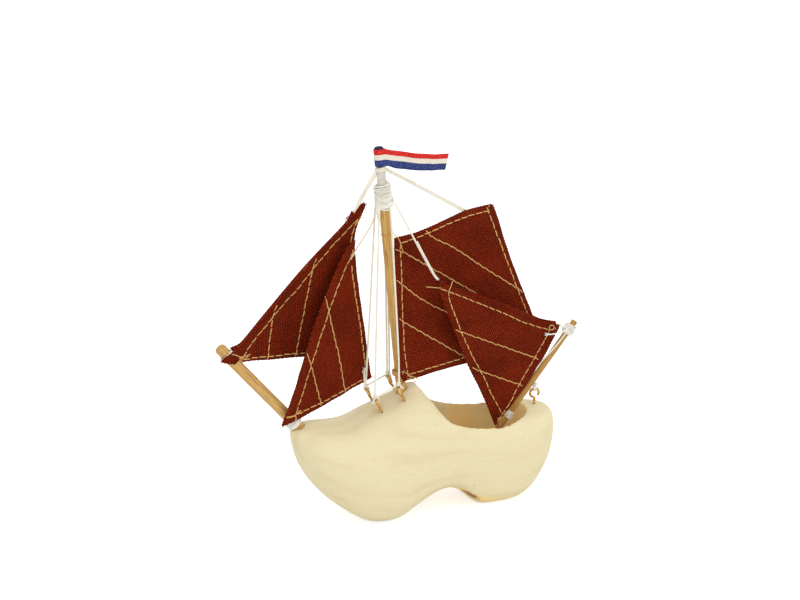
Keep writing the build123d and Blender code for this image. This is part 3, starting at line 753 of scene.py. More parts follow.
# cloth, drawn in the plane of each sail: x along its fixed edge, y towards its far side
clothLook = {"straightSteps": 160, "curveSteps": 24, "rim": (0.22, 0.6, 1.3), "ripple": 0.12,
             "crossRipple": 0.1, "hemBlend": 0.7, "edgeRound": 0.6, "edgeThin": 0.45, "bump": 0.13,
             "bumpReach": 0.45, "bumpPace": 4.3, "pucker": 0.035, "puckerReach": 2.4, "puckerPace": 5.6}
tubeLook = {"step": 0.5, "sides": 24, "flare": 2.6, "pucker": 0.1, "puckerPitch": 1.3, "flatten": 0.45,
            "innerSeam": 0.8}
frayLook = {"lift": 0.4, "scatter": 0.8, "depth": 0.2, "length": (0.6, 1.2), "thick": 0.1}
ochreEndLook = {"proud": 0.1, "lean": 0.25, "thick": 0.24}
stitchLook = {"backShift": 0.35, "jitter": 0.04, "shortest": 0.4, "points": 7, "sides": 6, "bend": 0.12,
              "lean": (0.6, 1.3), "sag": 0.3, "proud": 1.06, "sunk": 0.22, "bow": 0.36, "bowPower": 0.4,
              "bowEnds": (0.1, 0.9)}


def smoothLine(points):
    points = [np.array(p, float) for p in points]
    if len(points) == 2:
        shares = np.linspace(0, 1, clothLook["straightSteps"])
        return np.array([points[0] + (points[1] - points[0]) * t for t in shares])
    ends = [2 * points[0] - points[1]] + points + [2 * points[-1] - points[-2]]
    line = []
    for a, b, c, d in zip(ends, ends[1:], ends[2:], ends[3:]):
        for t in np.linspace(0, 1, clothLook["curveSteps"] + 1)[:-1]:
            line.append(0.5 * (2 * b + (c - a) * t + (2 * a - 5 * b + 4 * c - d) * t * t
                               + (3 * b - a - 3 * c + d) * t ** 3))
    line.append(points[-1])
    return np.array(line)


def alongLine(line, shares):
    run = runAlong(line)
    return pointsAt(line, run, np.array(shares) * run[-1])


def lineLength(line):
    return float(np.linalg.norm(np.diff(line, axis=0), axis=1).sum())


def gridShares(length, step):
    first, second, third = clothLook["rim"]
    inner = np.linspace(third, length - third, max(3, int(length / step)))
    return np.concatenate(([0, first, second], inner, [length - second, length - first, length])) / length


def sailPlane(origin, along, side):
    edge = (Vector(along) - Vector(origin)).normalized()
    return spot(origin, edge, edge.cross(Vector(side) - Vector(origin)))


def sailSwell(look, x, y):
    swell = sum(depth * np.exp(-((x - cx) / rx) ** 2 - ((y - cy) / ry) ** 2)
                for cx, cy, rx, ry, depth in look["swells"])
    return (swell + clothLook["ripple"] * np.sin(0.55 * x + 1.3 * np.sin(0.21 * y))
            + clothLook["crossRipple"] * np.sin(0.47 * y + 0.19 * x))


# half the cloth's thickness, at a distance from its edge: folded in the hem, rounded at the edge
def clothHalf(look, away):
    single, folded, thin = look["half"], look["foldedHalf"], clothLook["edgeThin"]
    blend = np.clip((away - look["hem"]) / clothLook["hemBlend"], 0, 1)
    thick = folded + (single - folded) * blend * blend * (3 - 2 * blend)
    rounding = np.sqrt(np.minimum(1.0, away / clothLook["edgeRound"]))
    return thick * np.minimum(1.0, thin + (1 - thin) * rounding)


def edgeDistance(edge, spots):
    starts, runs = edge[:-1], np.diff(edge, axis=0)
    lengths = (runs ** 2).sum(1) + 1e-12
    found = []
    for part in np.array_split(spots, max(1, len(spots) // 400)):
        apart = part[:, None, :] - starts[None]
        t = np.clip((apart * runs).sum(2) / lengths, 0, 1)
        found.append(np.sqrt((((apart - runs * t[..., None]) ** 2).sum(2)).min(1)))
    return np.concatenate(found)


def placeAll(where, x, y, z):
    origin, a, b, c = (np.array(part) for part in where)
    return origin + np.outer(x, a) + np.outer(y, b) + np.outer(z, c)


def addSheet(shape, look, plane):
    fixed, end, far, start = (smoothLine(look[side]) for side in ("fixed", "end", "far", "start"))
    edge = np.concatenate([fixed, end, far[::-1], start[::-1]])
    us = gridShares(lineLength(fixed), look["step"])
    vs = gridShares(max(lineLength(start), lineLength(end)), look["step"])
    low, high = alongLine(fixed, us), alongLine(far, us)
    left, right = alongLine(start, vs), alongLine(end, vs)
    u, v = us[:, None, None], vs[None, :, None]
    grid = ((1 - v) * low[:, None] + v * high[:, None] + (1 - u) * left[None] + u * right[None]
            - (1 - u) * (1 - v) * low[0] - u * (1 - v) * low[-1] - (1 - u) * v * high[0] - u * v * high[-1])
    flat = grid.reshape(-1, 2)
    away = edgeDistance(edge, flat)
    flatX, flatY = flat.T
    bumpy, pace = clothLook["bump"] * np.exp(-away / clothLook["bumpReach"]), clothLook["bumpPace"]
    x = flatX + bumpy * np.sin(pace * flatY + 0.6 * np.sin(0.9 * flatX))
    y = flatY + bumpy * np.sin(pace * flatX + 0.6 * np.sin(0.8 * flatY))
    puckered = clothLook["pucker"] * np.exp(-away / clothLook["puckerReach"])
    half = clothHalf(look, away) + puckered * np.sin(clothLook["puckerPace"] * (flatX + flatY))
    lift = sailSwell(look, flatX, flatY)
    for way in (-1, 1):
        shape["points"].extend(map(tuple, placeAll(plane, x, y, lift + way * half)))
        shape["cloth"].extend(map(tuple, flat))
    addSheetFaces(shape, len(us), len(vs))
    return edge


def addHemTube(shape, tube, plane):
    middle = smoothLine(tube["line"])
    start, end = middle[0, 0], middle[-1, 0]
    stops = np.linspace(start, end, int((end - start) / tubeLook["step"]))
    angles = np.linspace(0, fullTurn, tubeLook["sides"], endpoint=False)
    first = len(shape["points"])
    for wall in (0, tube["wall"]):
        for x in stops:
            level = np.interp(x, middle[:, 0], middle[:, 1])
            gape, mouth = (tube[name] * math.exp(-((x - tip) / tubeLook["flare"]) ** 2)
                           for name, tip in (("gape", end), ("mouth", start)))
            radius = (tube["outer"] - wall) * (1 + gape + mouth)
            radius += 0 if wall else tubeLook["pucker"] * math.sin(fullTurn * x / tubeLook["puckerPitch"])
            for angle in angles:
                toSheet = max(0.0, math.cos(angle)) ** 2
                seam = toSheet * (tube["seam"] - radius) * (tubeLook["innerSeam"] if wall else 1.0)
                y = radius * math.cos(angle) + seam
                z = radius * math.sin(angle) * (1 - tubeLook["flatten"] * toSheet)
                shape["points"].append(tuple(place(plane, x, level + y, z)))
                shape["cloth"].append((x, y + z))
    count, around = len(stops), len(angles)
    inside = first + count * around
    addGrid(shape, first, count, around, flip=True, closed=True)
    addGrid(shape, inside, count, around, closed=True)
    for ring, flip in ((0, False), ((count - 1) * around, True)):
        for k in range(around):
            a, b = ring + k, ring + (k + 1) % around
            addQuad(shape, first + a, first + b, inside + b, inside + a, flip)


def addStitches(shape, look, plane, edge, line, pitch, gap, slant, thick):
    line = smoothLine(line)
    count = max(1, int(round(lineLength(line) / pitch)))
    tube, sewn, jitter = look.get("tube"), stitchLook, stitchLook["jitter"]
    middle = smoothLine(tube["line"]) if tube else None
    for way in (-1, 1):
        for k in range(count):
            shift = (0.0 if way < 0 else sewn["backShift"]) + random.uniform(-jitter, jitter)
            begin = (k + shift + gap / pitch / 2) / count
            finish = min(1.0, (k + 1 + shift - gap / pitch / 2) / count)
            if finish - begin < sewn["shortest"] / count:
                continue
            share = np.linspace(0, 1, sewn["points"])
            flat = alongLine(line, begin + (finish - begin) * share)
            run = flat[-1] - flat[0]
            across = np.array((-run[1], run[0])) / (np.linalg.norm(run) + 1e-9)
            lean = slant * random.uniform(*sewn["lean"])
            curve = random.uniform(-sewn["bend"], sewn["bend"]) - slant * sewn["sag"]
            flat = flat + np.outer(lean * (share - 0.5) * 2 + curve * np.sin(math.pi * share), across)
            half = clothHalf(look, edgeDistance(edge, flat))
            if tube:
                off = (flat[:, 1] - np.interp(flat[:, 0], middle[:, 0], middle[:, 1])) / tube["seam"]
                proud = tube["outer"] * sewn["proud"] * np.sqrt(np.maximum(0, 1 - off * off))
                half = np.maximum(half, proud)
            arched = (share > sewn["bowEnds"][0]) & (share < sewn["bowEnds"][1])
            bow = np.where(arched, np.sin(math.pi * share) ** sewn["bowPower"], 0.0)
            level = sailSwell(look, *flat.T) + way * (half - sewn["sunk"] + sewn["bow"] * bow)
            addTube(shape, placeAll(plane, *flat.T, level), thick, sewn["sides"])


def makeSail(name, look):
    plane = sailPlane(*look["plane"])
    shape, threads, fraying = startShape(), startShape(), startShape()
    edge = addSheet(shape, look, plane)
    if "tube" in look:
        addHemTube(shape, look["tube"], plane)
    sail = newPiece(name, shapeMesh(name, shape), look["material"], look["body"], [look["node"]])
    for kind, settings in stitchKinds.items():
        for line in look[kind]:
            addStitches(threads, look, plane, edge, line, **settings)
    for x, y, way, length in look["ochreEnds"]:
        base = place(plane, x, y, sailSwell(look, x, y) - look["foldedHalf"] - ochreEndLook["proud"])
        way = plane[1] * way[0] + plane[2] * way[1] - plane[3] * ochreEndLook["lean"]
        addTufts(threads, base, [way], length, ochreEndLook["thick"])
    stitching = newPiece(name + "Stitching", shapeMesh(name + "Stitching", threads), "ochreThread",
                         look["body"])
    lift, scatter, depth = frayLook["lift"], frayLook["scatter"], frayLook["depth"]
    for x, y, spreadFrom, spreadTo, count, length in look["frays"]:
        for k in range(count):
            angle = math.radians(spreadFrom + (spreadTo - spreadFrom) * (k + random.uniform(0, 1)) / count)
            way = plane[1] * math.cos(angle) + plane[2] * math.sin(angle)
            way += plane[3] * random.uniform(-lift, lift)
            base = place(plane, x + random.uniform(-scatter, scatter), y + random.uniform(-scatter, scatter),
                         sailSwell(look, x, y) + random.uniform(-depth, depth))
            addTufts(fraying, base, [way], length * random.uniform(*frayLook["length"]), frayLook["thick"])
    frays = newPiece(name + "Frays", shapeMesh(name + "Frays", fraying), "canvasYarn", look["body"])
    print(name + ":", len(sail.data.polygons), "faces,", len(stitching.data.polygons), "in the stitching")


# stitching: plain along the hems and folds, slanted where two widths of cloth are joined
stitchKinds = {"hems": {"pitch": 4.2, "gap": 0.7, "slant": 0.12, "thick": 0.28},
               "seams": {"pitch": 4.4, "gap": -0.5, "slant": 0.3, "thick": 0.25}}

# sails. fixed, end, far and start are the four edges, swells and frays are (x, y, ...) in the sail's plane:
# a swell is (x, y, reach in x, reach in y, depth), a fray (x, y, from angle, to angle, count, length)
jibCloth = {"step": 0.66, "half": 0.26, "foldedHalf": 0.46}
outerJibLook = {
    "node": "outer_jib", "body": "outer", "material": "canvas",
    "plane": ((-85.74, 0, 92.22), (-14.26, 0, 171.6), (-36.2, 10.0, 80.5)),
    "fixed": ((-6.2, -2.4), (-3.2, -1.9), (-0.4, -0.4), (2.6, 1.5), (7.5, 2.6), (24, 2.5), (46, 2.7),
              (57, 3.2), (69, 4.2), (80.6, 5.1), (85.5, 4.6), (89, 3.8), (93.0, 4.6)),
    "end": ((93.0, 4.6), (92.6, 6.8), (89.7, 7.9), (83.4, 10.3), (77.0, 14.4), (68.6, 22.0), (46, 34.4),
            (25.4, 45.3)),
    "start": ((-6.2, -2.4), (-6.7, -1.3), (-5.2, 1.6), (-3.6, 5.0), (-2.2, 7.2), (0.6, 11.9), (6.6, 20.8),
              (11.3, 27.0), (17.2, 35.0), (23.9, 44.8)),
    "far": ((23.9, 44.8), (25.4, 45.3)),
    **jibCloth, "hem": 2.6,
    "swells": ((-4.6, 1.4, 6.2, 7.6, -4.2), (36, 22, 30, 16, 1.2), (70, 14, 16, 10, 0.5)),
    "tube": {"line": ((0.4, 0.8), (3.5, 2.0), (7.5, 2.6), (24, 2.5), (46, 2.7), (57, 3.2), (69, 4.2),
                      (80.6, 5.1), (86.6, 4.4)),
             "outer": 1.1, "wall": 0.32, "seam": 1.9, "gape": 0.55, "mouth": 0.7},
    "hems": (
        ((-0.2, 6.9), (3.0, 6.7), (8, 6.3), (18.2, 6.4), (33, 6.5), (43.3, 7.0), (56, 6.7), (69.6, 6.7),
         (76.6, 7.3), (86.2, 8.0)),
        ((85.6, 8.6), (82.3, 9.2), (76, 12.6), (68.0, 19.6), (50.0, 29.4), (28.0, 41.0)),
        ((-3.2, 4.4), (-0.1, 8.3), (4.4, 14.4), (10.0, 21.9), (19.1, 34.0), (25.0, 42.0)),
        ((30.4, 2.9), (23.4, 6.9), (14.6, 13.2), (6.0, 19.6)),
        ((59.9, 2.8), (52.1, 7.5), (33.6, 19.4), (14.9, 31.1))),
    "seams": (),
    "ochreEnds": ((86.4, 8.0, (0.8, 0.6), 1.8),),
    "frays": ((-6.2, -1.6, 150, 230, 9, 1.4), (92.6, 5.6, 0, 130, 20, 1.7), (84.0, 3.4, 110, 230, 20, 2.6),
              (24.6, 45.2, 70, 120, 4, 1.0)),
    "flat": (0.046, 0.101), "area": 0.00268, "restsOn": ["outer_jib_stay"],
}
innerJibLook = {
    "node": "inner_jib", "body": "inner", "material": "canvasTurned",
    "plane": ((-62.7, -6.4, 52.5), (-25.5, 0.5, 140.3), (-13.0, 10.4, 66.1)),
    "fixed": ((0.6, -2.4), (8.3, -2.1), (17, -2.0), (37.7, -3.9), (60, -4.6), (87.5, -3.0), (96.2, 0.0)),
    "end": ((96.2, 0.0), (95.4, 1.2), (90.5, 3.4), (70.5, 16.1), (49.7, 30.1), (34.2, 41.4)),
    "start": ((0.6, -2.4), (1.6, 0.6), (5.8, 6.6), (13.1, 16.6), (22.7, 28.6), (31.0, 39.4)),
    "far": ((31.0, 39.4), (32.9, 41.9), (34.2, 41.4)),
    **jibCloth, "hem": 2.7,
    "swells": ((45, 14, 28, 18, -0.9), (34, 36, 14, 12, 0.6), (92, 0, 9, 8, -0.5), (2, 1.5, 7, 7, -0.4)),
    "hems": (
        ((92.2, 0.9), (87.2, 1.2), (60.2, 0.5), (32.7, 1.8), (7.4, 3.5)),
        ((84.5, 3.6), (69.9, 13.2), (41.5, 32.6), (34.6, 37.6)),
        ((7.4, 3.7), (15.8, 16.2), (23.9, 26.9), (31.5, 37.0))),
    "seams": (
        ((65.3, -4.0), (60.2, 0.4), (54.8, 4.2), (39, 16.6), (22.7, 28.6)),
        ((37.8, -3.4), (32.0, 2.2), (23, 9.4), (14.2, 16.6))),
    "ochreEnds": ((66.0, -4.4, (0.7, -0.7), 2.0),),
    "frays": ((95.8, 0.4, 10, 120, 12, 1.6), (92.0, -2.0, 90, 220, 22, 2.4), (1.2, -1.4, 150, 250, 7, 1.8),
              (33.2, 41.6, 60, 130, 5, 1.4)),
    "flat": (0.0466, 0.0957), "area": 0.00229, "restsOn": ["inner_jib_halyard", "inner_jib_tack_tie"],
}
mainsailLook = {
    "node": "mainsail", "body": "main", "material": "canvasTurned",
    "plane": ((-4.63, -4.2, 74.58), (-6.1, -2.1, 140.4), (75.4, 6.0, 77.0)),
    "fixed": ((-6.5, 2.9), (0.2, 0.1), (20, 0.3), (44.6, 0.2), (66.2, 0.2)),
    "end": ((66.2, 0.2), (67.3, 9.0), (68.4, 15.0), (72.2, 28.4), (74.8, 37.0), (76.2, 46.0), (76.4, 52.0)),
    "start": ((-6.5, 2.9), (-5.4, 13.0), (-3.9, 26.9), (-3.1, 38.2), (-1.2, 60.0), (1.2, 81.4)),
    "far": ((1.2, 81.4), (16.2, 76.7), (50.6, 63.0), (74.2, 55.2), (76.4, 52.0)),
    "step": 0.7, "hem": 2.9, "half": 0.27, "foldedHalf": 0.48,
    "swells": ((34, 34, 30, 26, 1.7), (66, 24, 12, 16, -0.7), (10, 52, 16, 18, 0.6), (52, 58, 16, 10, -0.5)),
    "hems": (
        ((64.2, 3.2), (57.7, 3.3), (44.1, 3.5), (27.9, 3.4), (9.4, 3.8), (-4.6, 5.3)),
        ((63.4, 3.4), (65.6, 14.3), (69.7, 28.7), (71.9, 38.4), (73.2, 47.4), (73.2, 52.6)),
        ((75.6, 50.4), (70.9, 52.4), (54.4, 58.6), (32.5, 67.2), (18.0, 73.0), (3.4, 77.6)),
        ((-3.4, 5.6), (-2.3, 14.4), (-0.9, 27.1), (0.2, 38.9), (2.4, 60.0), (4.0, 77.0))),
    "seams": (
        ((67.7, 16.7), (63.3, 21.9), (57.0, 32.6), (43.9, 50.4), (31.8, 67.4), (29.4, 70.7)),
        ((60.4, 0.6), (58.4, 5.1), (50.3, 17.5), (39.1, 34.3), (25, 55.0), (14.6, 72.0)),
        ((45.2, 0.6), (32.2, 16.3), (19.5, 37.0), (4.6, 60.0)),
        ((25.7, 1.3), (12.1, 20.5), (-0.6, 38.6))),
    "ochreEnds": ((75.4, 51.6, (0.9, 0.1), 2.4), (-5.0, 4.6, (-0.5, 0.9), 3.2)),
    "frays": ((75.6, 53.6, 20, 130, 9, 1.8), (-6.2, 3.2, 150, 260, 8, 1.8), (66.4, 0.8, 60, 200, 7, 1.6),
              (1.4, 81.2, 60, 160, 5, 1.4)),
    "flat": (0.0829, 0.0814), "area": 0.00515, "restsOn": ["mast", "peak_halyard", "throat_tie"],
}
aftSailLook = {
    "node": "aft_sail", "body": "boat", "material": "canvas",
    "plane": ((13.9, -8.0, 119.9), (82.6, -2.0, 89.9), (48.3, -2.0, 37.9)),
    "fixed": ((0.4, 0.6), (10.8, 0.9), (35, 1.2), (56.7, 2.1), (63.3, 2.5), (69.2, 1.9), (72.6, 1.4),
              (75.1, 1.2)),
    "end": ((75.1, 1.2), (76.0, 2.6), (75.8, 6.5), (75.6, 10.8), (75.3, 17.1), (74.3, 23.9), (72.6, 34.0),
            (70.8, 41.4), (68.5, 48.8), (66.6, 55.0), (65.2, 60.0)),
    "start": ((0.4, 0.6), (2.2, 3.4), (19.0, 20.2), (34.5, 35.0), (47.2, 45.6), (56.8, 54.3), (63.4, 60.6)),
    "far": ((63.4, 60.6), (64.4, 61.4), (65.0, 60.0)),
    **jibCloth, "hem": 2.8,
    "swells": ((46, 20, 22, 16, 1.3), (64, 48, 9, 12, -0.5), (6, 3, 8, 6, -0.4)),
    "tube": {"line": ((0.5, 0.5), (20, 0.9), (40, 1.3), (56.7, 2.1), (63.3, 2.5), (69.2, 1.9), (72.6, 1.5)),
             "outer": 0.98, "wall": 0.3, "seam": 1.8, "gape": 0.25, "mouth": 0.3},
    "hems": (
        ((3.4, 3.6), (9.1, 3.5), (32.7, 4.6), (43.1, 5.1), (49.7, 5.8), (56.1, 6.2), (65.5, 6.0),
         (71.0, 5.5)),
        ((9.0, 5.9), (26.1, 22.4), (40.5, 34.4), (47.2, 39.4), (53.7, 45.6), (59.7, 50.2), (64.6, 54.2)),
        ((71.5, 7.4), (70.9, 14), (70.0, 21), (69.0, 28.9), (67.6, 38.4), (66.8, 46.5), (65.6, 53.0),
         (64.7, 59.6))),
    "seams": (
        ((20.6, 20.6), (26.3, 20.9), (49.3, 21.4), (72.6, 21.7)),
        ((38.2, 36.4), (43.8, 36.8), (56, 37.1), (70.2, 37.3))),
    "ochreEnds": ((73.0, 3.6, (0.8, 0.3), 1.2),),
    "frays": ((1.0, 1.2, 150, 250, 8, 1.8), (74.6, 1.8, -40, 60, 8, 1.8), (65.2, 60.8, 40, 140, 8, 2.0)),
    "flat": (0.0745, 0.0612), "area": 0.00243, "restsOn": ["aft_stay", "aft_sail_tack_tie"],
}
for name, look in (("outerJib", outerJibLook), ("innerJib", innerJibLook), ("mainsailCloth", mainsailLook),
                   ("aftSail", aftSailLook)):
    makeSail(name, look)


def insideHem(look, stops):
    plane, line = sailPlane(*look["plane"]), smoothLine(look["tube"]["line"])
    return [tuple(place(plane, x, np.interp(x, line[:, 0], line[:, 1]), 0)) for x in stops]


# rigging, held at both ends: routes and frayed tails go through control points, loops are turns round
# (a frame, radius, turns), knots are (a frame, size)
cordKinds = {"routes": (1.0, 0.0), "tails": (0.9, 2.2)}
loopWobble = 0.05


def makeRigging(name, look):
    shape = startShape()
    thick, strands = look["thick"], look.get("strands", 3)
    for kind, (share, splay) in cordKinds.items():
        for route in look.get(kind, ()):
            points = [place(look["on"], *point) for point in route] if "on" in look else route
            addRope(shape, routeLine(points), thick * share, strands, splay=splay)
    for where, radius, turns in look.get("loops", ()):
        half = thick * turns / 2
        addRope(shape, windingLine(where, radius, -half, half, turns, loopWobble), thick, strands)
    for where, size in look.get("knots", ()):
        addRope(shape, knotLine(where, size), thick, strands)
    newPiece(name, shapeMesh(name, shape), look["material"], look.get("body", "boat"),
             look.get("stands", ()))


def aroundWire(eye, rise):
    seat = eyes[eye]
    return spot(place(seat, 0, 0, rise), seat[3], seat[1])


def aroundMast(x, y, z):
    return spot(place(mast, x, y, z), mast[1], mast[3])


def knotAt(point, axis=(0, 0, 1), across=(1, 0, 0)):
    axis = Vector(axis).normalized()
    return spot(point, Vector(across) - axis * Vector(across).dot(axis), axis)


ochreThread = {"material": "ochreThread", "slot": "ochre_thread", "thick": 0.5, "strands": 2}
riggingLooks = {
    "portShroud": {
        "stands": ["port_shroud"], "material": "creamCord", "thick": 1.05,
        "routes": (
            ((-17.7, -8.0, 63.0), (-17.4, -7.7, 68.4), (-15.7, -5.7, 109.6), (-13.6, -3.2, 150.7),
             (-13.4, -2.9, 156.1), (-13.0, -2.3, 160.1)),
            ((-5.5, -8.2, 68.6), (-5.1, -8.0, 73.8), (-6.4, -6.1, 112.5), (-7.9, -4.0, 151.2),
             (-8.2, -3.6, 156.6), (-8.7, -2.8, 160.5)),
            ((-17.5, -8.3, 63.2), (-12.0, -8.6, 65.3), (-6.6, -8.3, 68.3))),
        "loops": ((aroundWire("portFore", 7.5), 1.25, 1), (aroundWire("portAft", 7.5), 1.25, 1)),
        "knots": ((knotAt((-17.6, -8.2, 64.0)), 0.24), (knotAt((-5.6, -8.3, 69.3)), 0.24)),
        "tails": (((-17.5, -8.6, 63.6), (-18.6, -9.4, 62.6), (-19.2, -9.6, 60.6)),
                  ((-5.6, -8.6, 69.0), (-4.8, -9.4, 68.4), (-4.4, -9.7, 66.6)),
                  ((-13.6, -2.6, 162.0), (-14.0, -3.0, 157.0), (-14.2, -3.4, 151.0)),
                  ((-13.9, -2.0, 161.0), (-14.8, -2.6, 157.0), (-14.9, -3.1, 153.0)))},
    "starboardShroud": {
        "stands": ["starboard_shroud"], "material": "creamCord", "thick": 1.05,
        "routes": (
            ((-17.7, 8.0, 63.0), (-17.4, 7.7, 68.4), (-15.5, 5.5, 109.6), (-14.0, 2.9, 150.7),
             (-13.7, 2.6, 156.1), (-13.3, 2.0, 160.0)),
            ((-6.4, 8.0, 68.4), (-6.5, 7.8, 73.8), (-7.6, 6.2, 112.5), (-8.5, 4.2, 151.2),
             (-8.7, 4.0, 156.5), (-9.4, 3.1, 160.4)),
            ((-5.2, 7.9, 68.6), (-5.3, 7.7, 73.8), (-6.4, 6.1, 112.5), (-7.5, 4.2, 151.2), (-7.8, 4.0, 156.5),
             (-8.6, 3.1, 160.2)),
            ((-17.5, 8.3, 63.2), (-12.0, 8.5, 65.4), (-6.6, 8.3, 68.3))),
        "loops": ((aroundWire("starFore", 7.5), 1.25, 1), (aroundWire("starAft", 7.5), 1.25, 1)),
        "knots": ((knotAt((-17.6, 8.2, 64.0)), 0.24), (knotAt((-6.4, 8.2, 69.4)), 0.24)),
        "tails": (((-17.6, 7.9, 63.6), (-18.4, 7.5, 66.0), (-18.9, 7.1, 71.8)),
                  ((-17.9, 8.0, 63.8), (-18.8, 7.4, 67.0), (-18.3, 7.1, 73.4)),
                  ((-6.4, 8.6, 69.0), (-5.4, 9.4, 68.2), (-5.0, 9.8, 66.4)))},
    "outerJibStay": {
        "stands": ["outer_jib_stay"], "material": "creamCord", "thick": 1.15,
        "routes": (
            ((-87.2, -2.4, 90.6), (-85.9, -0.8, 92.0), *insideHem(outerJibLook, (2, 4.5))),
            (*insideHem(outerJibLook, (83, 86)), (-20.8, 0.3, 163.2), (-14.1, 0.0, 173.6)),
            ((-25.4, 0.6, 154.2), (-23.6, 0.8, 155.6), (-19.6, 0.5, 162.5), (-13.0, 0.2, 172.8))),
        "loops": ((aroundMast(0, 0, 111.6), 2.4, 1),)},
    "outerJibStayInHem": {
        "material": "creamCord", "thick": 1.0, "body": "outer",
        "routes": (insideHem(outerJibLook, (4, 24, 46, 69, 84)),)},
    "innerJibHalyard": {
        "stands": ["inner_jib_halyard"], "material": "creamThread", "thick": 0.8,
        "routes": (((-25.6, -0.6, 133.8), (-24.4, 0.0, 135.9), (-19.6, 0.3, 142.3), (-15.6, 0.2, 148.9),
                    (-14.2, 0.1, 153.6), (-13.8, 0.0, 160.0)),
                   ((-25.6, -0.6, 133.8), (-26.6, -1.2, 133.2), (-27.2, -1.3, 131.8)))},
    "innerJibTackTie": {
        **ochreThread, "stands": ["inner_jib_tack_tie"], "thick": 0.7,
        "routes": (((-62.4, -5.6, 58.1), (-62.2, -6.9, 58.2), (-59.4, -7.1, 57.4), (-56.5, -6.7, 58.8),
                    (-54.2, -5.9, 60.1)),
                   ((-61.6, -6.9, 57.6), (-59.2, -7.3, 58.3), (-57.2, -7.0, 58.0)),
                   ((-57.6, -6.9, 58.6), (-57.0, -7.1, 57.4), (-56.8, -6.4, 55.8), (-57.2, -3.6, 54.0)))},
    "throatTie": {
        **ochreThread, "stands": ["throat_tie"], "body": "main", "on": mast,
        "loops": ((aroundMast(0.19, -0.16, 80.4), 2.95, 1),),
        "tails": (((2.6, -1.7, 80.6), (3.6, -2.8, 80.4), (5.0, -3.6, 77.6), (5.8, -3.7, 74.0),
                   (6.0, -3.6, 71.4)),)},
    "tackTie": {
        **ochreThread, "stands": ["tack_tie"], "body": "main", "on": mast,
        "loops": ((aroundMast(-0.2, -0.7, 10.0), 3.55, 5),),
        "routes": (((1.6, -3.8, 10.4), (2.6, -4.9, 9.6), (3.9, -5.1, 8.2)),),
        "tails": (((3.3, -5.1, 8.6), (4.6, -5.6, 6.8), (6.4, -5.2, 4.6)),
                  ((3.3, -5.1, 8.6), (5.2, -5.6, 8.2), (7.4, -5.3, 6.2)))},
    "peakHalyard": {
        "stands": ["peak_halyard"], "material": "creamCord", "thick": 1.0, "body": "main",
        "routes": (((-9.6, 0.0, 174.4), (-4.9, 0.4, 172.1), (17.0, 2.6, 159.5), (39.2, 4.8, 146.6),
                    (43.0, 5.3, 143.8)),
                   ((-9.6, 0.3, 173.4), (-4.9, 0.8, 171.0), (17.0, 2.9, 158.3), (39.2, 4.9, 145.5),
                    (43.0, 5.4, 143.4))),
        "loops": ((aroundMast(0, 0, 112.6), 2.25, 1),)},
    "aftStay": {
        "stands": ["aft_stay"], "material": "creamCord", "thick": 0.95,
        "routes": (
            ((-8.2, -1.9, 164.4), (-6.4, -2.4, 159.4), (-3.5, -3.4, 154.0), (9.9, -7.2, 126.6),
             *insideHem(aftSailLook, (0.6, 6, 20, 40, 57, 63, 72)), (82.2, -2.0, 88.9), (86.6, -0.6, 85.7)),
            ((4.4, -5.7, 139.2), (5.8, -6.2, 136.0), (11.0, -7.8, 125.6), (13.3, -8.2, 121.1),
             (15.4, -8.1, 119.3)))},
    "aftSailTackTie": {
        **ochreThread, "stands": ["aft_sail_tack_tie"],
        "routes": (((55.7, -1.9, 42.9), (53.0, -3.0, 42.6), (51.2, -3.2, 41.6), (49.8, -2.6, 41.4)),),
        "knots": ((knotAt((49.9, -2.9, 41.4)), 0.22),)},
    "aftSailRing": {
        **ochreThread,
        "routes": (((8.1, -9.1, 117.2), (11.7, -9.2, 116.6), (15.6, -9.0, 115.9)),
                   ((21.8, -8.8, 119.0), (20.4, -9.0, 115.4), (19.4, -9.0, 113.6), (19.9, -8.7, 111.4))),
        "loops": ((knotAt((77.4, -3.4, 87.9), (0.2, 1, 0.1), (1, 0, 0)), 1.2, 2),),
        "tails": (((76.4, -3.5, 87.2), (75.8, -3.7, 86.0), (75.4, -3.4, 84.2)),)},
    "backstay": {
        "stands": ["backstay"], "material": "whiteCord", "thick": 0.9,
        "routes": (
            ((87.4, -1.9, 85.1), (84.8, -2.1, 82.0), (79.8, -2.6, 76.6), (72.1, -1.2, 68.1),
             (70.5, 3.3, 63.0), (70.9, 1.9, 58.0), (70.6, 0.0, 55.8)),),
        "loops": ((aroundWire("hook", 8.8), 1.2, 2),),
        "knots": ((knotAt((70.6, 0.2, 56.8)), 0.42),),
        "tails": (((85.6, -3.6, 85.6), (82.0, -5.0, 85.4), (77.4, -5.0, 84.6), (73.4, -4.6, 85.0)),
                  ((70.6, 0.4, 56.6), (71.8, 0.9, 57.2), (72.8, 1.0, 56.2)))},
    "outerJibTackTie": {
        **ochreThread,
        "routes": (((-86.2, -4.2, 91.4), (-84.6, -4.9, 91.4), (-82.6, -5.2, 90.0), (-80.4, -4.8, 90.0),
                    (-77.2, -3.6, 90.4)),
                   ((-83.0, -5.2, 89.8), (-81.4, -5.4, 88.8), (-79.4, -4.9, 89.2), (-78.4, -4.4, 90.2))),
        "knots": ((knotAt((-82.0, -5.2, 89.8)), 0.22),),
        "tails": (((-82.2, -5.2, 89.6), (-83.0, -5.3, 88.2), (-84.2, -5.2, 86.6)),)},
}
for name, look in riggingLooks.items():
    makeRigging(name, look)
print("rigging made:", len(riggingLooks), "cords")

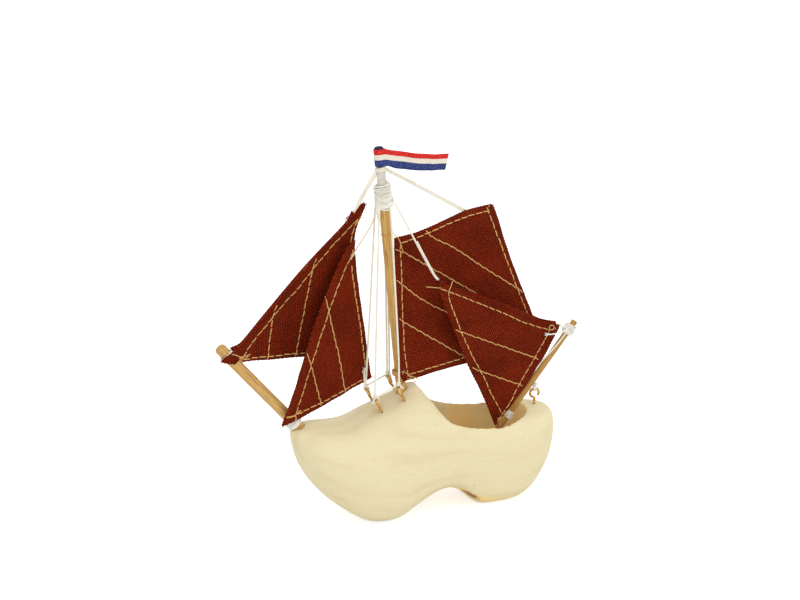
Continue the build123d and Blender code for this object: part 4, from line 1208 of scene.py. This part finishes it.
# lashings: layers of turns round a spar from start to end, then a few crossing turns and loose tufts
lashingTurns = {"lay": 2.8, "pitch": 0.98, "inset": 0.8, "seat": 0.52, "layer": 0.84, "outside": 0.45,
                "fewest": 1.5, "crossMiddle": (0.3, 0.7), "crossLean": (0.18, 0.34), "crossHalf": 0.3,
                "crossTurns": 1.15, "crossWobble": 0.1}
tuftSpots = {"along": (0.1, 0.9), "sunk": 0.95, "ways": 4, "spread": 0.8, "length": (0.6, 1.3), "thick": 0.07}
lashingLooks = {
    "mastheadLashing": {
        "node": "masthead_lashing", "on": mast, "spar": 2.5, "start": 92.9, "end": 105.8,
        "thick": 0.8, "layers": 2, "crossing": 5, "tufts": 14, "tuft": 1.4, "wobble": 0.42, "tilt": 0.5},
    "tipLashing": {
        "node": "bowsprit_tip_lashing", "on": bowsprit, "spar": 2.75, "start": 52.6, "end": 54.2,
        "thick": 0.8, "layers": 1, "crossing": 0, "tufts": 1, "tuft": 0.8, "wobble": 0.06, "tilt": 0},
    "heelLashing": {
        "node": "bowsprit_heel_lashing", "on": bowsprit, "spar": 2.75, "start": 1.9, "end": 7.4,
        "thick": 0.62, "layers": 2, "crossing": 3, "tufts": 5, "tuft": 0.7, "wobble": 0.35, "tilt": 0.2},
    "poleTopLashing": {
        "node": "pole_top_lashing", "on": pole, "spar": 1.6, "start": 81.8, "end": 88.2,
        "thick": 0.66, "layers": 2, "crossing": 4, "tufts": 9, "tuft": 1.2, "wobble": 0.4, "tilt": 0.3},
    "poleFootLashing": {
        "node": "pole_foot_lashing", "on": pole, "spar": 1.6, "start": 29.6, "end": 33.8,
        "thick": 0.5, "layers": 2, "crossing": 2, "tufts": 3, "tuft": 0.8, "wobble": 0.2, "tilt": 0},
}


def makeLashing(name, look):
    shape = startShape()
    where, thick, start, wound, loose = look["on"], look["thick"], look["start"], lashingTurns, tuftSpots
    length = look["end"] - start

    def wind(radius, low, high, turns, wobble, slope, tilt):
        line = windingLine(where, radius, low, high, turns, wobble, random.uniform(0, 6), slope, tilt)
        addRope(shape, line, thick, 2, wound["lay"])

    for layer in range(look["layers"]):
        inset = thick / 2 + layer * thick * wound["inset"]
        turns = (length - 2 * inset) / (thick * wound["pitch"])
        ends = [start + inset, look["end"] - inset]
        if layer % 2:
            ends.reverse()
        radius = look["spar"] + thick * (wound["seat"] + wound["layer"] * layer)
        wind(radius, *ends, max(wound["fewest"], turns), look["wobble"], 0, look["tilt"])
    outer = radius + thick * wound["outside"]
    for _ in range(look["crossing"]):
        middle = start + length * random.uniform(*wound["crossMiddle"])
        lean = length * random.uniform(*wound["crossLean"])
        wind(outer, middle - wound["crossHalf"], middle + wound["crossHalf"], wound["crossTurns"],
             wound["crossWobble"], lean, 0.0)
    for _ in range(look["tufts"]):
        angle = random.uniform(0, fullTurn)
        along = start + length * random.uniform(*loose["along"])
        out = where[1] * math.cos(angle) + where[2] * math.sin(angle)
        base = place(where, outer * math.cos(angle) * loose["sunk"],
                     outer * math.sin(angle) * loose["sunk"], along)
        ways = [out + where[3] * random.uniform(-loose["spread"], loose["spread"])
                for _ in range(loose["ways"])]
        addTufts(shape, base, ways, look["tuft"] * random.uniform(*loose["length"]), loose["thick"])
    newPiece(name, shapeMesh(name, shape), "whiteCord", "boat", [look["node"]])


for name, look in lashingLooks.items():
    makeLashing(name, look)
print("lashings made:", len(lashingLooks))

# flag: one ribbon wrapped round the cap, its two ends laid together and streaming aft
flagLook = {"at": 113.6, "height": ribbonLook["height"], "length": 34.6, "leaves": 2.2, "step": 0.6,
            "taper": 0.9, "droop": 7.6, "slant": 2.6, "root": 2.55, "thick": 0.16, "rows": 14,
            "waves": ((0.9, 0.23, 0.0), (0.35, 0.61, 1.0)), "wavesFull": 2.2, "crease": 24.0,
            "creaseDepth": 0.7, "creaseReach": 1.1, "sweep": 1.4, "sweepFrom": 0.63, "gap": 0.34,
            "belly": 0.25, "spread": 0.5, "opening": 2.1, "openReach": {-1: 6.5, 1: 2.4},
            "wrap": (-58, -303, -9), "rise": 0.3, "fold": 1.1, "curl": 0.25, "edge": 0.6}


# the ribbon's line seen from above, from its far end round the cap and back; side is -1 or 1
def leafPoint(x, side):
    look = flagLook
    share = (x - look["leaves"]) / (look["length"] - look["leaves"])
    waves = sum(depth * math.sin(x * pace + phase) for depth, pace, phase in look["waves"])
    waves *= min(1, share * look["wavesFull"])
    crease = look["creaseDepth"] * math.exp(-((x - look["crease"]) / look["creaseReach"]) ** 2)
    crease -= look["sweep"] * max(0.0, share - look["sweepFrom"]) ** 1.5
    apart = look["gap"] * 0.5 + look["belly"] * math.sin(math.pi * share)
    apart += look["spread"] * share if side > 0 else 0.0
    opening = look["opening"] * math.exp(-((x - look["leaves"]) / look["openReach"][side]) ** 2)
    return x, waves + crease + side * (apart + opening)


def makeFlag():
    look = flagLook
    reach, step, rows = look["length"], look["step"], look["rows"]
    cap = aroundMast(0, 0, look["at"])
    line = [leafPoint(x, -1) for x in np.arange(reach, look["leaves"], -step)]
    line += [(look["root"] * math.cos(angle), look["root"] * math.sin(angle))
             for angle in np.radians(np.arange(*look["wrap"]))]
    line += [leafPoint(min(x, reach), 1) for x in np.arange(look["leaves"] + step, reach + step / 2, step)]
    centre = np.array(line)
    run = runAlong(centre)
    across = np.gradient(centre, axis=0)
    across = np.column_stack((-across[:, 1], across[:, 0]))
    across /= np.linalg.norm(across, axis=1)[:, None]
    shape = startShape()
    for way in (-1, 1):
        for k, (x, y) in enumerate(centre):
            share = max(0.0, (x - look["leaves"]) / (reach - look["leaves"]))
            drop = look["rise"] - look["droop"] * (1.5 * share - 0.5 * share * share)
            folded = look["fold"] * min(1.0, share * 6) * (1 - 0.6 * share) if run[k] > run[-1] / 2 else 0.0
            for row in range(rows + 1):
                rise = row / rows
                lean = -look["slant"] * (1 - rise) * share ** 3
                curl = look["curl"] * math.sin(math.pi * rise + 0.5 * x) * share
                edge = look["edge"] if row in (0, rows) else 1.0
                px, py = (x, y) + way * across[k] * look["thick"] * 0.5 * edge + (lean, curl)
                high = look["height"] * row / rows
                level = high + (drop + look["taper"] * share * (1 - rise) - folded)
                shape["points"].append(tuple(place(cap, px, py, level)))
                shape["cloth"].append((run[k], high))
    addSheetFaces(shape, len(centre), rows + 1, flip=True)
    newPiece("ribbonFlag", shapeMesh("ribbonFlag", shape), "ribbon", "pennant", ["flag"])


makeFlag()
print("flag made")

# normals outward on every piece made from points
kept = list(nodes.values())
for piece in list(bpy.context.scene.objects):
    if piece.type == "MESH" and piece not in kept and piece.name != "clogHull":
        editWhole(piece, bpy.ops.mesh.normals_make_consistent, inside=False)

# floor and light. Each lamp: power, where, size
stageLook = {"floor": (240, 240, 239), "floorSize": 8.0, "floorLevel": -0.0002, "glow": 0.6,
             "ambient": 0.76, "aim": (0, 0, 0.08), "lamps": {
    "key": (1.5, (0.55, -0.75, 0.75), 0.5), "fill": (0.45, (-0.8, -0.7, 0.5), 0.7),
    "front": (0.9, (-0.25, -1.0, 0.42), 0.4), "top": (1.5, (0.15, -0.1, 1.1), 0.6)}}


# 1 for rays that show the surface itself, 0 for the light it gives
def seenRays(tree):
    rays = node("LightPath", {}, tree).outputs
    return calc("MAXIMUM", rays["Is Camera Ray"],
                calc("MAXIMUM", rays["Is Glossy Ray"], rays["Is Transmission Ray"]))


def makeStage():
    look = stageLook
    bpy.ops.object.select_all(action="DESELECT")
    bpy.ops.mesh.primitive_plane_add(size=look["floorSize"], location=(0, 0, look["floorLevel"]))
    floor = bpy.context.active_object
    floor.name = "floor"
    shader = startMaterial("floorPaper", {
        "Base Color": paint(*look["floor"]), "Roughness": 0.9, "Specular IOR Level": 0.1,
        "Emission Color": (1, 1, 1, 1)})
    fill(shader.inputs, {"Emission Strength": times(seenRays(shader.id_data), look["glow"])})
    floor.data.materials.append(materials["floorPaper"])
    world = bpy.data.worlds.new("studio")
    bpy.context.scene.world = world
    world.use_nodes = True
    fill(world.node_tree.nodes["Background"].inputs, {
        "Color": (1, 1, 1, 1), "Strength": either(seenRays(world.node_tree), look["ambient"], 1.0)})
    for name, (power, where, size) in look["lamps"].items():
        lamp = bpy.data.lights.new(name, "AREA")
        lamp.energy = power
        lamp.size = size
        holder = bpy.data.objects.new(name, lamp)
        holder.location = where
        holder.rotation_euler = (Vector(where) - Vector(look["aim"])).to_track_quat("Z", "Y").to_euler()
        bpy.context.scene.collection.objects.link(holder)
    bpy.context.scene.view_settings.view_transform = "Standard"


makeStage()
print("stage set")
